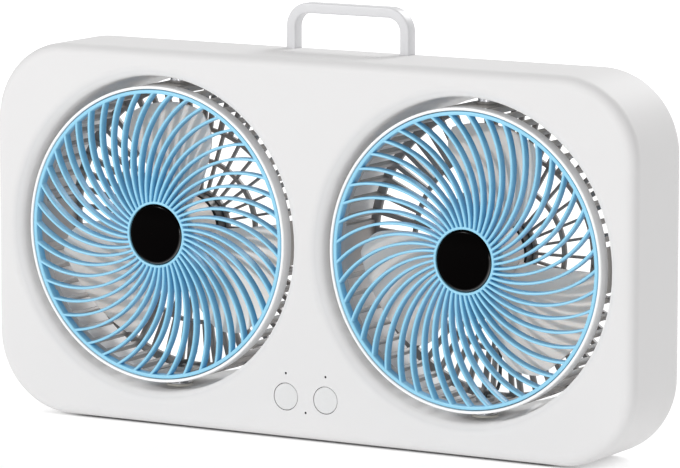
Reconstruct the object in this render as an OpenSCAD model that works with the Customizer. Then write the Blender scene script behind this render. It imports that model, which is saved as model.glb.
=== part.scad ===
// Twin-head camping fan: a flat casing with two fan heads that each swivel about an upright axis.
// Millimetres. X runs to the right seen from the front, Y to the back, Z up from the feet.
// Each head's own frame has its origin on the swivel axis, level with the middle of the head.

/* [Casing] */
// Width of the casing
body_w = 384; // [372:1:420]
// Height of the casing
body_h = 200; // [192:1:230]
// Depth of the casing
body_d = 54; // [50:1:70]
// Radius of the casing's corners, seen from the front
corner_r = 43; // [30:1:55]
// Radius that rounds the casing's edges and the front mouths of its openings
edge_r = 6; // [4:0.5:8]
// Slope at the back edge of the openings
lip_slope = 1; // [0.5:0.1:1.5]
// Thickness of the casing's walls
wall = 2.2; // [1.6:0.1:3]
// Depth of the rear cover, measured at the seam
rear_d = 6; // [6:0.5:10]
// Gap between a piece and the seat that holds it
seat_gap = 0.02; // [0.01:0.01:0.05]

// Half the distance between the two small recesses in the top
recess_half = 25.5; // [20:0.5:28]
// Length of a recess in the top
recess_l = 8; // [5:0.5:12]

/* [Casing screws] */
// Radius of the screw posts
post_r = 4; // [3.6:0.1:5]
// Radius of the casing screws' shanks
screw_r = 1.45; // [1.2:0.05:1.7]
// Length of the casing screws under the head
screw_len = 13; // [8:0.5:20]
// Radius of the casing screws' heads
screw_head_r = 2.8; // [2.2:0.1:3]
// Height of the casing screws' heads
screw_head_h = 2; // [1.4:0.1:2.2]
// Depth that the screw heads lie below the back
screw_sunk = 0.6; // [0.2:0.1:1]

/* [Feet] */
// Height that the rubber feet stand proud of the casing
foot_proud = 1; // [0.6:0.1:4]
// Radius of a foot
foot_r = 6; // [4:0.5:8]
// Radius of the stud that holds a foot
foot_stud_r = 2; // [1.5:0.1:3]
// Distance of the feet from the casing's middle, sideways
foot_x = 135; // [60:1:145]
// Distance of the feet from the casing's middle, front to back
foot_y = 12; // [8:1:14]

/* [Head] */
// Distance from the casing's middle to the middle of each head
head_half = 92.8; // [91:0.2:98]
// Height of the heads' middle above the casing's middle
head_lift = 1.2; // [0:0.1:3]
// Outer radius of a head
head_r = 79; // [74:0.5:80]
// Distance from the swivel axis to the head's front rim
head_front = 24.5; // [23:0.5:26]
// Distance from the swivel axis to the flat back of the head
head_back = 20.5; // [19:0.5:24]
// Gap between a turning head and the round opening that it turns in
swivel_gap = 1.6; // [1.2:0.1:3]
// Depth of the white band round the front of the head
band_d = 8; // [6:0.5:10]
// Thickness of the white band
band_t = 1.6; // [1.2:0.1:2.4]

/* [Front grille] */
// Depth that the grille lies behind the head's rim
grille_set = 0.3; // [0.1:0.1:1]
// Gap between the grille and the white band
grille_gap = 0.4; // [0.2:0.1:1]
// Depth of the grille
grille_d = 5.5; // [4:0.5:6]
// Width of the grille's outer ring
grille_ring = 2; // [1.6:0.1:3]
// Outer radius of the ring round the hub cap
hub_ring_r = 17.7; // [15:0.1:20]
// Width of the ring round the hub cap
hub_ring = 1.4; // [1:0.1:2]
// Number of curved vanes
vane_n = 45; // [30:1:50]
// Thickness of a vane
vane_t = 1.4; // [1.2:0.1:2]
// Radius of a vane's curve
vane_arc_r = 57.8; // [54:0.2:64]
// Distance from the head's middle to the centre of a vane's curve
vane_arc_at = 57.27; // [54:0.01:62]
// Turn of the vanes about the head's middle, in degrees
vane_turn = 1.81; // [0:0.01:8]
// Height of the hub cap's dome
dome_h = 1; // [0.8:0.1:2.5]
// Thickness of the hub cap's edge
cap_t = 3.8; // [1.6:0.1:4]

/* [Rear guard] */
// Thickness of the guard's wall and lattice
guard_t = 3; // [2:0.1:4]
// Width of the ribs round the side
rib_w = 2.6; // [2:0.1:3.4]
// Number of ribs in each quarter of the side
rib_n = 11; // [8:1:12]
// Angle of the first rib from the level line, in degrees
rib_first = 11.6; // [11:0.1:14]
// Half angle of the plain panels at the two sides, in degrees
side_panel = 8.5; // [6:0.5:9]
// Half angle of the plain panels that hold the pivots, in degrees
pivot_panel = 6; // [5:0.5:8]
// Radius of the lattice's inner ring
ring_1_r = 35.8; // [30:0.2:40]
// Radius of the lattice's outer ring
ring_2_r = 52.6; // [48:0.2:60]
// Width of the lattice's rings
ring_w = 2.2; // [1.6:0.1:3]
// Number of thin ribs inside the outer ring
thin_n = 30; // [20:1:36]
// Width of the thin ribs
thin_w = 1.4; // [1:0.1:2]
// Radius of the plate that carries the motor
plate_r = 20; // [19:0.5:24]
// Thickness of the guard's collar that plugs into the white band
collar_t = 1.4; // [1:0.1:2]

/* [Rotor] */
// Number of blades
blade_n = 3; // [3:1:5]
// Radius at the blades' tips
blade_r = 68.5; // [60:0.5:70]
// Thickness of a blade
blade_t = 1.8; // [1.4:0.1:2.4]
// Depth of a blade from its front edge to its back edge
blade_d = 19; // [14:0.5:19]
// Half angle that a blade covers at the hub, in degrees
blade_half_in = 38; // [20:1:45]
// Half angle that a blade covers at the tip, in degrees
blade_half_out = 31; // [16:1:36]
// Angle that a blade's tip leads its root by, in degrees
blade_sweep = 11; // [0:1:30]
// Turn of the left rotor at rest, in degrees
left_turn = 85; // [0:1:119]
// Turn of the right rotor at rest, in degrees
right_turn = 74; // [0:1:119]
// Radius of the rotor's hub
rotor_r = 18; // [17:0.2:19]
// Depth of the rotor's hub
rotor_d = 23; // [21:0.5:24]
// Thickness of the hub's wall
rotor_wall = 1.8; // [1.2:0.1:2.4]
// Gap between the grille and the rotor's hub
rotor_gap = 4.2; // [3:0.1:5]

/* [Motor] */
// Gap round the motor can inside the rotor's hub
can_gap = 1.2; // [0.8:0.1:2]
// Thickness of the motor can
can_t = 1; // [0.8:0.1:1.4]
// Radius of the motor's rear housing
base_r = 18.5; // [17.5:0.1:19]
// Gap between the rotor's hub and the motor's rear housing
base_gap = 1.5; // [1:0.1:2.5]
// Distance from the rotor hub's front wall to the motor can
can_set = 6.7; // [6.4:0.1:7.2]
// Thickness of the magnets
magnet_t = 1.8; // [1.2:0.1:2.4]
// Half angle that a magnet covers, in degrees
magnet_half = 65; // [50:1:75]
// Length of the motor bushes
bush_l = 3; // [2:0.1:3.4]
// Gap between the magnets and the armature
air_gap = 0.5; // [0.3:0.1:0.8]
// Radius of the motor shaft
shaft_r = 1.5; // [1:0.1:2]
// Running gap round the shaft in its bushes
shaft_gap = 0.04; // [0.02:0.01:0.08]
// Outer radius of the motor bushes
bush_r = 3.5; // [2.8:0.1:4]
// Distance of the motor screws from the shaft
motor_screw_at = 11; // [9:0.5:12]
// Radius of the motor screws' shanks
motor_screw_r = 1.2; // [1:0.1:1.4]

/* [Swivel pivots] */
// Radius of the pivot pins
pin_r = 3; // [2.6:0.1:3.6]
// Radius of the lead's passage through the lower pin
pin_bore = 1.4; // [1.2:0.1:1.8]
// Running gap between a pin and its bush
pin_gap = 0.05; // [0.02:0.01:0.1]
// Wall thickness of the pivot bushes
pivot_bush_t = 2; // [1.4:0.1:2.4]
// Gap along the pin on each side of the pivot washer
washer_gap = 0.1; // [0.05:0.05:0.3]
// Thickness of the pivot washers
washer_t = 0.5; // [0.3:0.1:0.6]

/* [Carry handle] */
// Width of the handle
handle_w = 74; // [64:1:76]
// Distance of the handle's middle to the right of the casing's middle
handle_shift = 1.3; // [-2:0.1:2]
// Height that the raised handle stands above the casing
handle_h = 24.5; // [24:0.5:40]
// Width of the handle's bar, seen from the front
handle_bar = 5.5; // [4:0.1:6]
// Depth of the handle's bar, front to back
handle_t = 7.8; // [6:0.1:8]
// Outer radius of the handle's bends
handle_bend = 13; // [7:0.5:14]
// Distance of the handle's middle in front of the casing's back
handle_y = 8; // [7.8:0.1:9]
// Distance that the handle slides down, until its bends meet the casing's top
handle_travel = 13.5; // [12:0.5:16]
// Gap left under the legs when the handle is down
leg_gap = 1.2; // [0.8:0.1:3]
// Gap round the handle's legs in their guides
handle_gap = 0.3; // [0.2:0.05:0.5]
// Thickness of the guides' walls
guide_t = 1.4; // [1:0.1:1.4]
// Height of the stop at the foot of each leg
stop_h = 3; // [2:0.1:3]
// Distance that the stop reaches inward of the leg
stop_out = 2; // [1.2:0.1:3]

/* [Buttons] */
// Radius of a button
button_r = 7; // [5:0.1:8]
// Half the distance between the buttons
button_half = 11.95; // [10:0.05:16]
// Distance of the buttons' middle to the right of the casing's middle
button_shift = 1; // [-4:0.1:4]
// Distance of the buttons below the casing's middle
button_down = 77.8; // [74:0.2:80]
// Gap round a button
button_gap = 0.4; // [0.15:0.05:0.4]
// Distance that a button travels
button_travel = 0.8; // [0.4:0.1:1]
// Radius of an indicator pinhole
pinhole_r = 0.65; // [0.5:0.05:1.2]
// Distance of the upper pinholes above the buttons
pinhole_up = 12.4; // [10:0.2:14]
// Distance of the middle pinhole below the buttons
pinhole_down = 7.6; // [4:0.2:9]

/* [Electronics] */
// Width of the control board
board_w = 54; // [50:1:56]
// Height of the control board
board_h = 30; // [28:0.5:31]
// Thickness of the circuit boards
board_t = 1.6; // [1:0.1:2]
// Distance from the front wall to the control board
board_back = 6.2; // [6:0.1:7]
// Radius of a battery cell
cell_r = 9.15; // [9:0.05:9.3]
// Length of a battery cell
cell_l = 65; // [60:0.5:66]
// Distance of the charging inlet from the casing's middle
port_x = 46; // [44:0.5:48]
// Width of the charging inlet
port_w = 9; // [8.4:0.1:10]
// Height of the charging inlet
port_h = 3.3; // [3:0.1:4]
// Radius of the internal leads
lead_r = 1; // [0.6:0.1:1.2]

/* [Hidden] */
$fn = 96;
left = -1;
right = 1;
sides = [left, right];
over = 1;               // how far a cut runs past the face that it opens

// Casing
half_w = body_w / 2;
half_h = body_h / 2;
half_d = body_d / 2;
mid_z = foot_proud + half_h;
top_z = foot_proud + body_h;
floor_z = foot_proud + wall;
roof_z = top_z - wall;
front_in = -half_d + wall;
back_in = half_d - wall;
seam_y = half_d - rear_d;
head_z = mid_z + head_lift;
throat_r = sqrt(head_r * head_r + pow(max(head_front, head_back), 2)) + swivel_gap;
duct_r = throat_r + wall;

// Screw posts: two near each end of the casing, two above and two below the heads' inner sides
corner_in = (corner_r - wall - post_r) / 2;
end_post_x = half_w - corner_r + corner_in + 1;
end_post_z = half_h - corner_r + corner_in + 1;
top_post = [52, roof_z - post_r - 6.5];
low_post = [60, floor_z + post_r + 4];
screw_hole_r = screw_r + 0.05;
screw_pass_r = screw_r + 0.25;
screw_well_r = screw_head_r + 0.3;
screw_under = half_d - screw_sunk - screw_head_h;

// Swivel pivots, as heights from the head's middle
pivot_hole_r = pin_r + pin_gap + pivot_bush_t;
pad_r = pivot_hole_r + 3;
pad_at = sqrt(throat_r * throat_r - pad_r * pad_r);
flange_t = 1.2;
flange_r = pivot_hole_r + 2;
flange_at = pad_at - flange_t;
washer_at = flange_at - washer_gap - washer_t;
collar_at = washer_at - washer_gap;
collar_r = pin_r + 1.5;
boss_r = pin_r + 2;
boss_in = head_r - guard_t - 2;
boss_out = head_r + 1;
pivot_end = pad_at + 9;

// Grille and band, as distances along Y from the swivel axis
band_back = -head_front + band_d;
grille_r = head_r - band_t - grille_gap;
grille_in = grille_r - grille_ring;
grille_front = -head_front + grille_set;
grille_back = grille_front + grille_d;
hub_in = hub_ring_r - hub_ring;
hub_floor = 1.5;
vane_steps = 12;

// Guard
guard_in = head_r - guard_t;
lattice_y = head_back - guard_t;
collar_out = head_r - band_t - seat_gap;
rib_pitch = (90 - pivot_panel - rib_first) / (rib_n - 1 + 0.3333);

// Rotor and motor
rotor_front = grille_back + rotor_gap;
rotor_back = rotor_front + rotor_d;
can_r = rotor_r - rotor_wall - can_gap;
can_front = rotor_front + rotor_wall + can_set;
base_front = rotor_back + base_gap;
shaft_end = lattice_y - 0.8;
magnet_r = can_r - can_t - seat_gap;
armature_r = magnet_r - magnet_t - air_gap;
magnet_front = can_front + 3;
magnet_back = base_front - 2;
commutator_r = shaft_r + 1.5;

// Handle
leg_x = handle_w / 2 - handle_bar / 2;
leg_y = half_d - handle_y;
leg_duct_r = sqrt(duct_r * duct_r - pow(max(0, leg_y - handle_t / 2), 2));
duct_top = head_z + sqrt(pow(leg_duct_r, 2) - pow(head_half - abs(handle_shift) - handle_w / 2, 2));
leg_foot = duct_top + leg_gap + handle_travel;
slot_x = handle_bar / 2 + handle_gap;
slot_y = handle_t / 2 + handle_gap;
guide_low = leg_foot + stop_h + handle_gap;
guide_top = top_z - edge_r + 0.5;
guide_front = leg_y - slot_y - guide_t;

// Buttons and control board
board_y = front_in + board_back;
board_back_y = board_y + board_t;
board_low = floor_z + 8;
button_z = mid_z - button_down;
cap_flange_t = 1;
switch_h = 3;
switch_w = 6;
plunger_r = 1.6;
plunger_gap = 0.05;
plunger_out = button_travel + 0.2;
plunger_y = board_y - switch_h - plunger_out;
board_post_x = board_w / 2 - 4;
board_post_z = [board_low + 3, board_low + board_h - 4];
board_screw_r = 0.95;
board_screw_len = 5;
chip_w = 6;
chip_h = 1.2;
chip_up = 21;
socket_w = 4.6;
socket_in = 0.3;
socket_out = 4.2;
socket_z = [board_low + 8.4, board_low + 17.2];

// Battery
cell_gap = 0.35;
holder_t = 1.2;
holder_front = board_back_y + 0.6;
holder_low = floor_z + 0.8;
holder_x = cell_l / 2 + 3.5;
cell_edge = cell_r + cell_gap + 0.4;
cell_apart = 2 * cell_r + cell_gap;
first_cell_y = holder_front + holder_t + cell_gap + cell_r;
first_cell_z = holder_low + holder_t + cell_r + 0.2;

// The second cell lies behind the first, and rises over it where the casing is too shallow for both
cell_room = back_in - 0.6 - cell_edge - first_cell_y;
cell_step = min(cell_apart, cell_room);
cell_y = [first_cell_y, first_cell_y + cell_step];
cell_z = [first_cell_z, first_cell_z + sqrt(cell_apart * cell_apart - cell_step * cell_step)];
holder_back = cell_y[1] + cell_edge;

// Charging
charge_w = 16;
charge_l = 16;
charge_z = floor_z + 5.8;
port_z = charge_z + board_t + port_h / 2;
port_gap = 0.3;
port_len = 7.4;

// Leads: points chosen by hand, each in its own frame
socket_x = board_w / 2 - socket_in;
socket_y = board_y - 2.4;
motor_route = [
    [0, lattice_y - 1.1, -base_r - 0.2], [0, lattice_y - 1.1, -30], [0, lattice_y - 1.1, -45],
    [0, lattice_y - 1.1, -60], [0, lattice_y - 1.5, -68.4], [0, lattice_y - 4, -71.7],
    [0, 9, -72.1], [0, 4, -72.1], [0, 1.6, -72.2], [0, 0.35, -72.8], [0, 0, -74.2], [0, 0, -80],
    [0, 0, -86], [0, 0, -pivot_end]
];
pivot_route = [
    [head_half, 0, head_z - pivot_end], [head_half, 0, 6.6], [head_half - 0.9, 0, 4.9],
    [head_half - 3, 0, 4.4], [76, 0, 4.4], [62, 0, 4.4], [48, 0, 4.4], [42, -2, 4.4],
    [39, -8, 4.4], [38.2, -16, 4.8], [37, -20.2, 7], [34.4, -21, 11.5], [32, -21.1, 16],
    [29.6, -21, 18.8], [socket_x, socket_y, socket_z[0]]
];
battery_route = [
    [-holder_x - 0.05, -8, 14], [-37.2, -8, 14], [-38.8, -9, 15.2], [-39.4, -12.4, 18.6],
    [-38.4, -16.6, 22.4], [-35.4, -20, 25.6], [-31, -21, 28], [-socket_x, socket_y, socket_z[1]]
];
charge_route = [
    [45, 12.8, charge_z + board_t + chip_h], [45, 12.6, 14.5], [44.9, 11.4, 17.5], [44.6, 8.6, 20.4],
    [44, 3.6, 22.8], [42.6, -4, 24.2], [40.4, -13, 25], [37, -18.8, 26], [32, -20.9, 27.6],
    [socket_x, socket_y, socket_z[1]]
];

// Helpers
// A flat shape seen from the front, given thickness from y0 to y1
module along_y(y0, y1) {
    translate([0, y1, 0]) rotate([90, 0, 0]) linear_extrude(y1 - y0) children();
}

// A profile of radius against y, turned about the Y axis
module turned() {
    rotate([-90, 0, 0]) rotate_extrude() children();
}

// A rod along Y
module rod(r, y0, y1) {
    translate([0, y0, 0]) rotate([-90, 0, 0]) cylinder(r = r, h = y1 - y0);
}

// A box from one corner to the opposite one
module block(low, high) {
    translate(low) cube(high - low);
}

// A flat ring
module ring(outer, inner) {
    difference() {
        circle(outer);
        circle(inner);
    }
}

// A wedge about the middle, between two angles less than 180 degrees apart
module wedge(a0, a1, reach) {
    mid = (a0 + a1) / 2;
    far = reach / cos((a1 - a0) / 4);
    polygon([[0, 0], reach * [cos(a0), sin(a0)], far * [cos((a0 + mid) / 2), sin((a0 + mid) / 2)],
        far * [cos((a1 + mid) / 2), sin((a1 + mid) / 2)], reach * [cos(a1), sin(a1)]]);
}

// Places a head's pieces, and mirrors what is handed
module at_head(side) {
    translate([side * head_half, 0, head_z]) children();
}

// A pan-head screw along Y with its head to the back, and its cross recess
module screw(r, len, head, head_h) {
    cross_w = head * 0.32;
    difference() {
        union() {
            rod(r, -len, 0.01);
            rod(head, 0, head_h);
        }
        for (turn = [0, 90]) rotate([0, turn, 0])
            block([-head * 0.62, head_h * 0.45, -cross_w / 2], [head * 0.62, head_h + over, cross_w / 2]);
    }
}

// A tube of eight sides swept along a route
function unit(v) = v / norm(v);
function heading(p, i) = unit(p[min(i + 1, len(p) - 1)] - p[max(i - 1, 0)]);
function across(v) = abs(v[0]) < 0.9 ? unit(cross(v, [1, 0, 0])) : unit(cross(v, [0, 0, 1]));
function sides_of(p, i, s) = i == len(p) ? [] :
    let (n = unit(s - (s * heading(p, i)) * heading(p, i))) concat([n], sides_of(p, i + 1, n));
module tube(p, r, n = 8) {
    s = sides_of(p, 0, across(heading(p, 0)));
    points = [for (i = [0:len(p) - 1], k = [0:n - 1])
        let (u = s[i], v = cross(heading(p, i), u), a = 360 * k / n)
        p[i] + r * (cos(a) * u + sin(a) * v)];
    skin = [for (i = [0:len(p) - 2], k = [0:n - 1], half = [0, 1])
        let (a = i * n + k, b = i * n + (k + 1) % n, c = a + n, d = b + n)
        half == 0 ? [a, c, b] : [b, c, d]];
    last = (len(p) - 1) * n;
    ends = [[for (k = [0:n - 1]) k], [for (k = [n - 1:-1:0]) last + k]];
    polyhedron(points, concat(skin, ends));
}

// Casing shapes
// The outline of a section through the casing, with rounded edges
module edge_profile(half, inset) {
    e = edge_r - inset;
    d = half_d - inset;
    square([2 * half, 2 * (d - e)], center = true);
    square([2 * (half - e), 2 * d], center = true);
    for (x = [-1, 1], y = [-1, 1]) translate([x * (half - e), y * (d - e)]) circle(e);
}

// The whole casing as a solid, drawn in by the inset
module case_solid(inset) {
    run_x = body_w - 2 * corner_r;
    run_z = body_h - 2 * corner_r;
    translate([0, 0, mid_z]) {
        rotate([90, 0, 90]) translate([0, 0, -run_x / 2]) linear_extrude(run_x)
            rotate(90) edge_profile(half_h - inset, inset);
        translate([0, 0, -run_z / 2]) linear_extrude(run_z) edge_profile(half_w - inset, inset);
        for (x = [-1, 1], z = [-1, 1]) translate([x * run_x / 2, 0, z * run_z / 2]) turned()
            intersection() {
                edge_profile(corner_r - inset, inset);
                translate([0, -half_d]) square([corner_r, body_d]);
            }
    }
}

// Radius against y of a round opening. Its front mouth flares out, and its back half closes in round
// the ball that the head sweeps as it turns, as far as a small slope at the back edge.
module mouth_profile(r, flare) {
    reach = half_d + over;
    flare_y = edge_r - half_d;
    slope_y = half_d - lip_slope;
    slope_r = sqrt(r * r - slope_y * slope_y);
    translate([0, -reach]) square([r, reach]);
    difference() {
        translate([r, -reach]) square([flare, reach + flare_y]);
        translate([r + flare, flare_y]) circle(flare);
    }
    intersection() {
        circle(r, $fn = 240);
        translate([0, -over]) square([r, reach + over]);
    }
    polygon([[0, slope_y], [slope_r, slope_y], [slope_r + lip_slope + over, reach], [0, reach]]);
}

// Where the casing's screws are, seen from the front
module at_posts() {
    for (side = sides) {
        translate([side * end_post_x, 0, mid_z + end_post_z]) children();
        translate([side * end_post_x, 0, mid_z - end_post_z]) children();
        translate([side * top_post[0], 0, top_post[1]]) children();
        translate([side * low_post[0], 0, low_post[1]]) children();
    }
}

// Where the casing carries the pivots: up and down in the head's frame, Z outward
module at_pivots() {
    for (side = sides, up = [0, 180]) at_head(side) rotate([up, 0, 0]) children();
}

// The space inside both covers, less all that stands in it
module cavity() {
    difference() {
        case_solid(wall);
        for (side = sides) at_head(side) turned() mouth_profile(duct_r, edge_r - wall);
        at_posts() rod(post_r, -half_d, half_d);
        at_pivots() translate([0, 0, throat_r - 2]) cylinder(r = pad_r, h = pivot_end - throat_r + 2);
        at_board_posts() rod(2.6, -half_d, board_y);
        for (side = sides) {
            block([handle_shift + side * leg_x - handle_bar, guide_front - 2, guide_low - 3],
                [handle_shift + side * leg_x + handle_bar, guide_front, roof_z + 0.5]);
            block([side * 20 - 1.5, holder_front + 1, foot_proud], [side * 20 + 1.5, cell_y[1], holder_low]);
            block([port_x + side * (charge_w / 2 - 1.5) - 0.8, back_in - charge_l, foot_proud],
                [port_x + side * (charge_w / 2 - 1.5) + 0.8, back_in - 4.5, charge_z]);
        }
    }
}

module throats() {
    for (side = sides) at_head(side) turned() mouth_profile(throat_r, edge_r);
}

// The slots in the top that the handle's legs pass through
module leg_slots() {
    for (side = sides)
        block([handle_shift + side * leg_x - slot_x, leg_y - slot_y, guide_top - 4],
            [handle_shift + side * leg_x + slot_x, leg_y + slot_y, top_z + over]);
}

// The posts that carry the control board
module at_board_posts() {
    for (x = [-1, 1], z = board_post_z) translate([x * board_post_x, 0, z]) children();
}

module front_cover() {
    color("whitesmoke") difference() {
        case_solid(0);
        cavity();
        throats();
        leg_slots();
        block([-body_w, seam_y, -over], [body_w, body_d, 2 * body_h]);
        at_posts() rod(screw_hole_r, seam_y - screw_len, half_d);
        at_pivots() translate([0, 0, head_r])
            cylinder(r = pivot_hole_r + seat_gap, h = pivot_end - head_r + 0.5);
        for (side = sides) {
            translate([button_shift + side * button_half, 0, button_z]) {
                rod(button_r + button_gap, -body_d, front_in + over);
                translate([0, 0, pinhole_up]) rod(pinhole_r, -body_d, front_in + over);
            }
            for (y = [-foot_y, foot_y]) translate([side * foot_x, y, -over])
                cylinder(r = foot_stud_r + seat_gap, h = floor_z + 2 * over);
            block([side * recess_half - recess_l / 2, -1, top_z - 0.8],
                [side * recess_half + recess_l / 2, 1, top_z + over]);
        }
        translate([button_shift, 0, button_z - pinhole_down]) rod(pinhole_r, -body_d, front_in + over);
        at_board_posts() rod(board_screw_r, board_y - board_screw_len + 0.5, board_y + over);
    }
}

module rear_cover() {
    color("whitesmoke") difference() {
        case_solid(0);
        cavity();
        throats();
        leg_slots();
        block([-body_w, -body_d, -over], [body_w, seam_y, 2 * body_h]);
        at_posts() {
            rod(screw_pass_r, 0, half_d + over);
            rod(screw_well_r, screw_under, half_d + over);
        }
        translate([port_x, 0, port_z]) {
            block([-port_w / 2 + port_h / 2, 0, -port_h / 2 - port_gap],
                [port_w / 2 - port_h / 2, half_d + over, port_h / 2 + port_gap]);
            for (x = [-1, 1]) translate([x * (port_w - port_h) / 2, 0, 0])
                rod(port_h / 2 + port_gap, 0, half_d + over);
        }
    }
}

module casing_screws() {
    color("silver") at_posts() translate([0, screw_under, 0])
        screw(screw_r, screw_len + screw_under - seam_y - 0.3, screw_head_r, screw_head_h);
}

module rubber_feet() {
    color("dimgray") for (side = sides, y = [-foot_y, foot_y]) translate([side * foot_x, y, 0]) {
        cylinder(r = foot_r, h = foot_proud);
        cylinder(r = foot_stud_r, h = floor_z + 1);
        translate([0, 0, floor_z]) cylinder(r = foot_stud_r + 0.6, h = 1);
    }
}

module pivot_bushes() {
    color("ivory") at_pivots() difference() {
        union() {
            translate([0, 0, flange_at]) cylinder(r = flange_r, h = flange_t);
            translate([0, 0, flange_at]) cylinder(r = pivot_hole_r, h = pivot_end - flange_at);
        }
        translate([0, 0, flange_at - over]) cylinder(r = pin_r + pin_gap, h = pivot_end);
    }
}

module pivot_washers() {
    color("silver") at_pivots() translate([0, 0, washer_at]) difference() {
        cylinder(r = flange_r - 0.5, h = washer_t);
        translate([0, 0, -over]) cylinder(r = pin_r + 0.2, h = washer_t + 2 * over);
    }
}

// The outline of an upright arch that stands on leg_foot
module arch(half, bend, peak) {
    translate([-half, leg_foot]) square([2 * half, peak - bend - leg_foot]);
    translate([bend - half, leg_foot]) square([2 * (half - bend), peak - leg_foot]);
    for (side = sides) translate([side * (half - bend), peak - bend]) circle(bend);
}

// Carry handle
module carry_handle() {
    top = top_z + handle_h;
    half = handle_w / 2;
    front = leg_y - handle_t / 2;
    color("whitesmoke") along_y(front, front + handle_t) translate([handle_shift, 0]) {
        difference() {
            arch(half, handle_bend, top);
            translate([0, -over]) arch(half - handle_bar, handle_bend - handle_bar, top - handle_bar + over);
        }
        for (side = sides) translate([side * (leg_x - stop_out / 2) - (handle_bar + stop_out) / 2, leg_foot])
            square([handle_bar + stop_out, stop_h]);
    }
}

module handle_guides() {
    color("dimgray") for (side = sides) translate([handle_shift + side * leg_x, leg_y, 0]) difference() {
        block([-slot_x - guide_t, seat_gap - slot_y - guide_t, guide_low],
            [slot_x + guide_t, slot_y + guide_t, guide_top]);
        block([-slot_x, -slot_y, 0], [slot_x, slot_y, body_h * 2]);
    }
}

// Buttons
module button(side) {
    color("whitesmoke") translate([button_shift + side * button_half, 0, button_z]) {
        rod(button_r, -half_d, front_in + 0.3);
        rod(button_r + 1.2, front_in + 0.2, front_in + 0.2 + cap_flange_t);
        rod(plunger_r + 1, front_in + 0.2, plunger_y);
    }
}

module switch_plunger(side) {
    color("dimgray") translate([button_shift + side * button_half, 0, button_z])
        rod(plunger_r, plunger_y, board_y - plunger_out - 0.3);
}

module tact_switches() {
    half = switch_w / 2;
    color("silver") for (side = sides) translate([button_shift + side * button_half, 0, button_z])
        difference() {
            block([-half, board_y - switch_h, -half], [half, board_y, half]);
            rod(plunger_r + plunger_gap, board_y - switch_h - over, board_y - 0.2);
        }
}

// The control board, with four lead sockets and the chip that drives the motors
module control_board() {
    half = socket_w / 2;
    color("seagreen") difference() {
        union() {
            block([-board_w / 2, board_y, board_low], [board_w / 2, board_back_y, board_low + board_h]);
            for (side = sides, z = socket_z) translate([side * (board_w / 2 - socket_in - half), board_y, z])
                block([-half, -socket_out, -half], [half, 0, half]);
            translate([0, board_y, board_low + chip_up])
                block([-chip_w / 2, -chip_h, -chip_w / 2], [chip_w / 2, 0, chip_w / 2]);
        }
        at_board_posts() rod(1.2, board_y - over, board_back_y + over);
    }
}

module board_screws() {
    color("silver") at_board_posts() translate([0, board_back_y, 0])
        screw(board_screw_r - 0.05, board_screw_len, 1.7, 0.5);
}

// Small clear rods that carry the indicators' light to the pinholes
module indicator_lenses() {
    color("lightgray") at_pinholes() {
        rod(pinhole_r - 0.05, -half_d + 0.2, front_in + 0.3);
        rod(pinhole_r + 0.7, front_in + 0.02, board_y - 1);
    }
}

module at_pinholes() {
    for (side = sides) translate([button_shift + side * button_half, 0, button_z + pinhole_up]) children();
    translate([button_shift, 0, button_z - pinhole_down]) children();
}

module indicator_leds() {
    color("khaki") at_pinholes() block([-0.8, board_y - 0.8, -0.5], [0.8, board_y, 0.5]);
}

// Battery
// Where each cell lies, with Z along the cell
module at_cells() {
    for (i = [0, 1]) translate([0, cell_y[i], cell_z[i]]) rotate([0, 90, 0]) children();
}

module battery_holder() {
    tub = cell_l / 2 + 1;
    bay_r = cell_r + 0.2;
    halfway = (cell_y[0] + cell_y[1]) / 2;
    color("dimgray") difference() {
        union() {
            block([-holder_x, holder_front, holder_low], [holder_x, halfway + 0.1, cell_z[0] + 2]);
            block([-holder_x, halfway, holder_low], [holder_x, holder_back, cell_z[1] + 2]);
        }
        at_cells() {
            translate([0, 0, -tub]) cylinder(r = bay_r, h = 2 * tub);
            block([-bay_r - cell_r, -bay_r, -tub], [0, bay_r, tub]);
        }
    }
    color("silver") at_cells() for (end = [-1, 1])
        translate([0, 0, end * (cell_l / 2 + 0.55)]) cube([6, 6, 0.9], center = true);
}

module battery_cells() {
    color("steelblue") at_cells() translate([0, 0, -cell_l / 2]) cylinder(r = cell_r, h = cell_l);
}

// Charging
module charge_board() {
    color("seagreen") translate([port_x, back_in - charge_l, charge_z]) {
        block([-charge_w / 2, 0, 0], [charge_w / 2, charge_l - port_gap, board_t]);
        block([-3, 2, 0], [1, 6, board_t + chip_h]);
    }
}

module charge_port() {
    shell = 0.4;
    color("silver") translate([port_x, 0, port_z]) difference() {
        stadium(port_w, port_h, half_d - port_len, half_d - 0.3);
        stadium(port_w - 2 * shell, port_h - 2 * shell, half_d - port_len + 1, half_d + over);
    }
    color("dimgray") translate([port_x, half_d - port_len + 0.9, port_z])
        block([-3.3, 0, -0.35], [3.3, port_len - 2, 0.35]);
}

// A slot-shaped bar along Y
module stadium(w, h, y0, y1) {
    along_y(y0, y1) {
        square([w - h, h], center = true);
        for (x = [-1, 1]) translate([x * (w - h) / 2, 0]) circle(h / 2);
    }
}

module battery_lead() {
    color("firebrick") tube(battery_route, lead_r);
}

module charge_lead() {
    color("dimgray") tube(charge_route, lead_r);
}

module pivot_lead(side) {
    color("dimgray") tube([for (p = pivot_route) [side * p[0], p[1], p[2]]], lead_r);
}

// Head
module head_ring(side) {
    color("whitesmoke") at_head(side) along_y(-head_front, band_back) ring(head_r, head_r - band_t);
}

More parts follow.
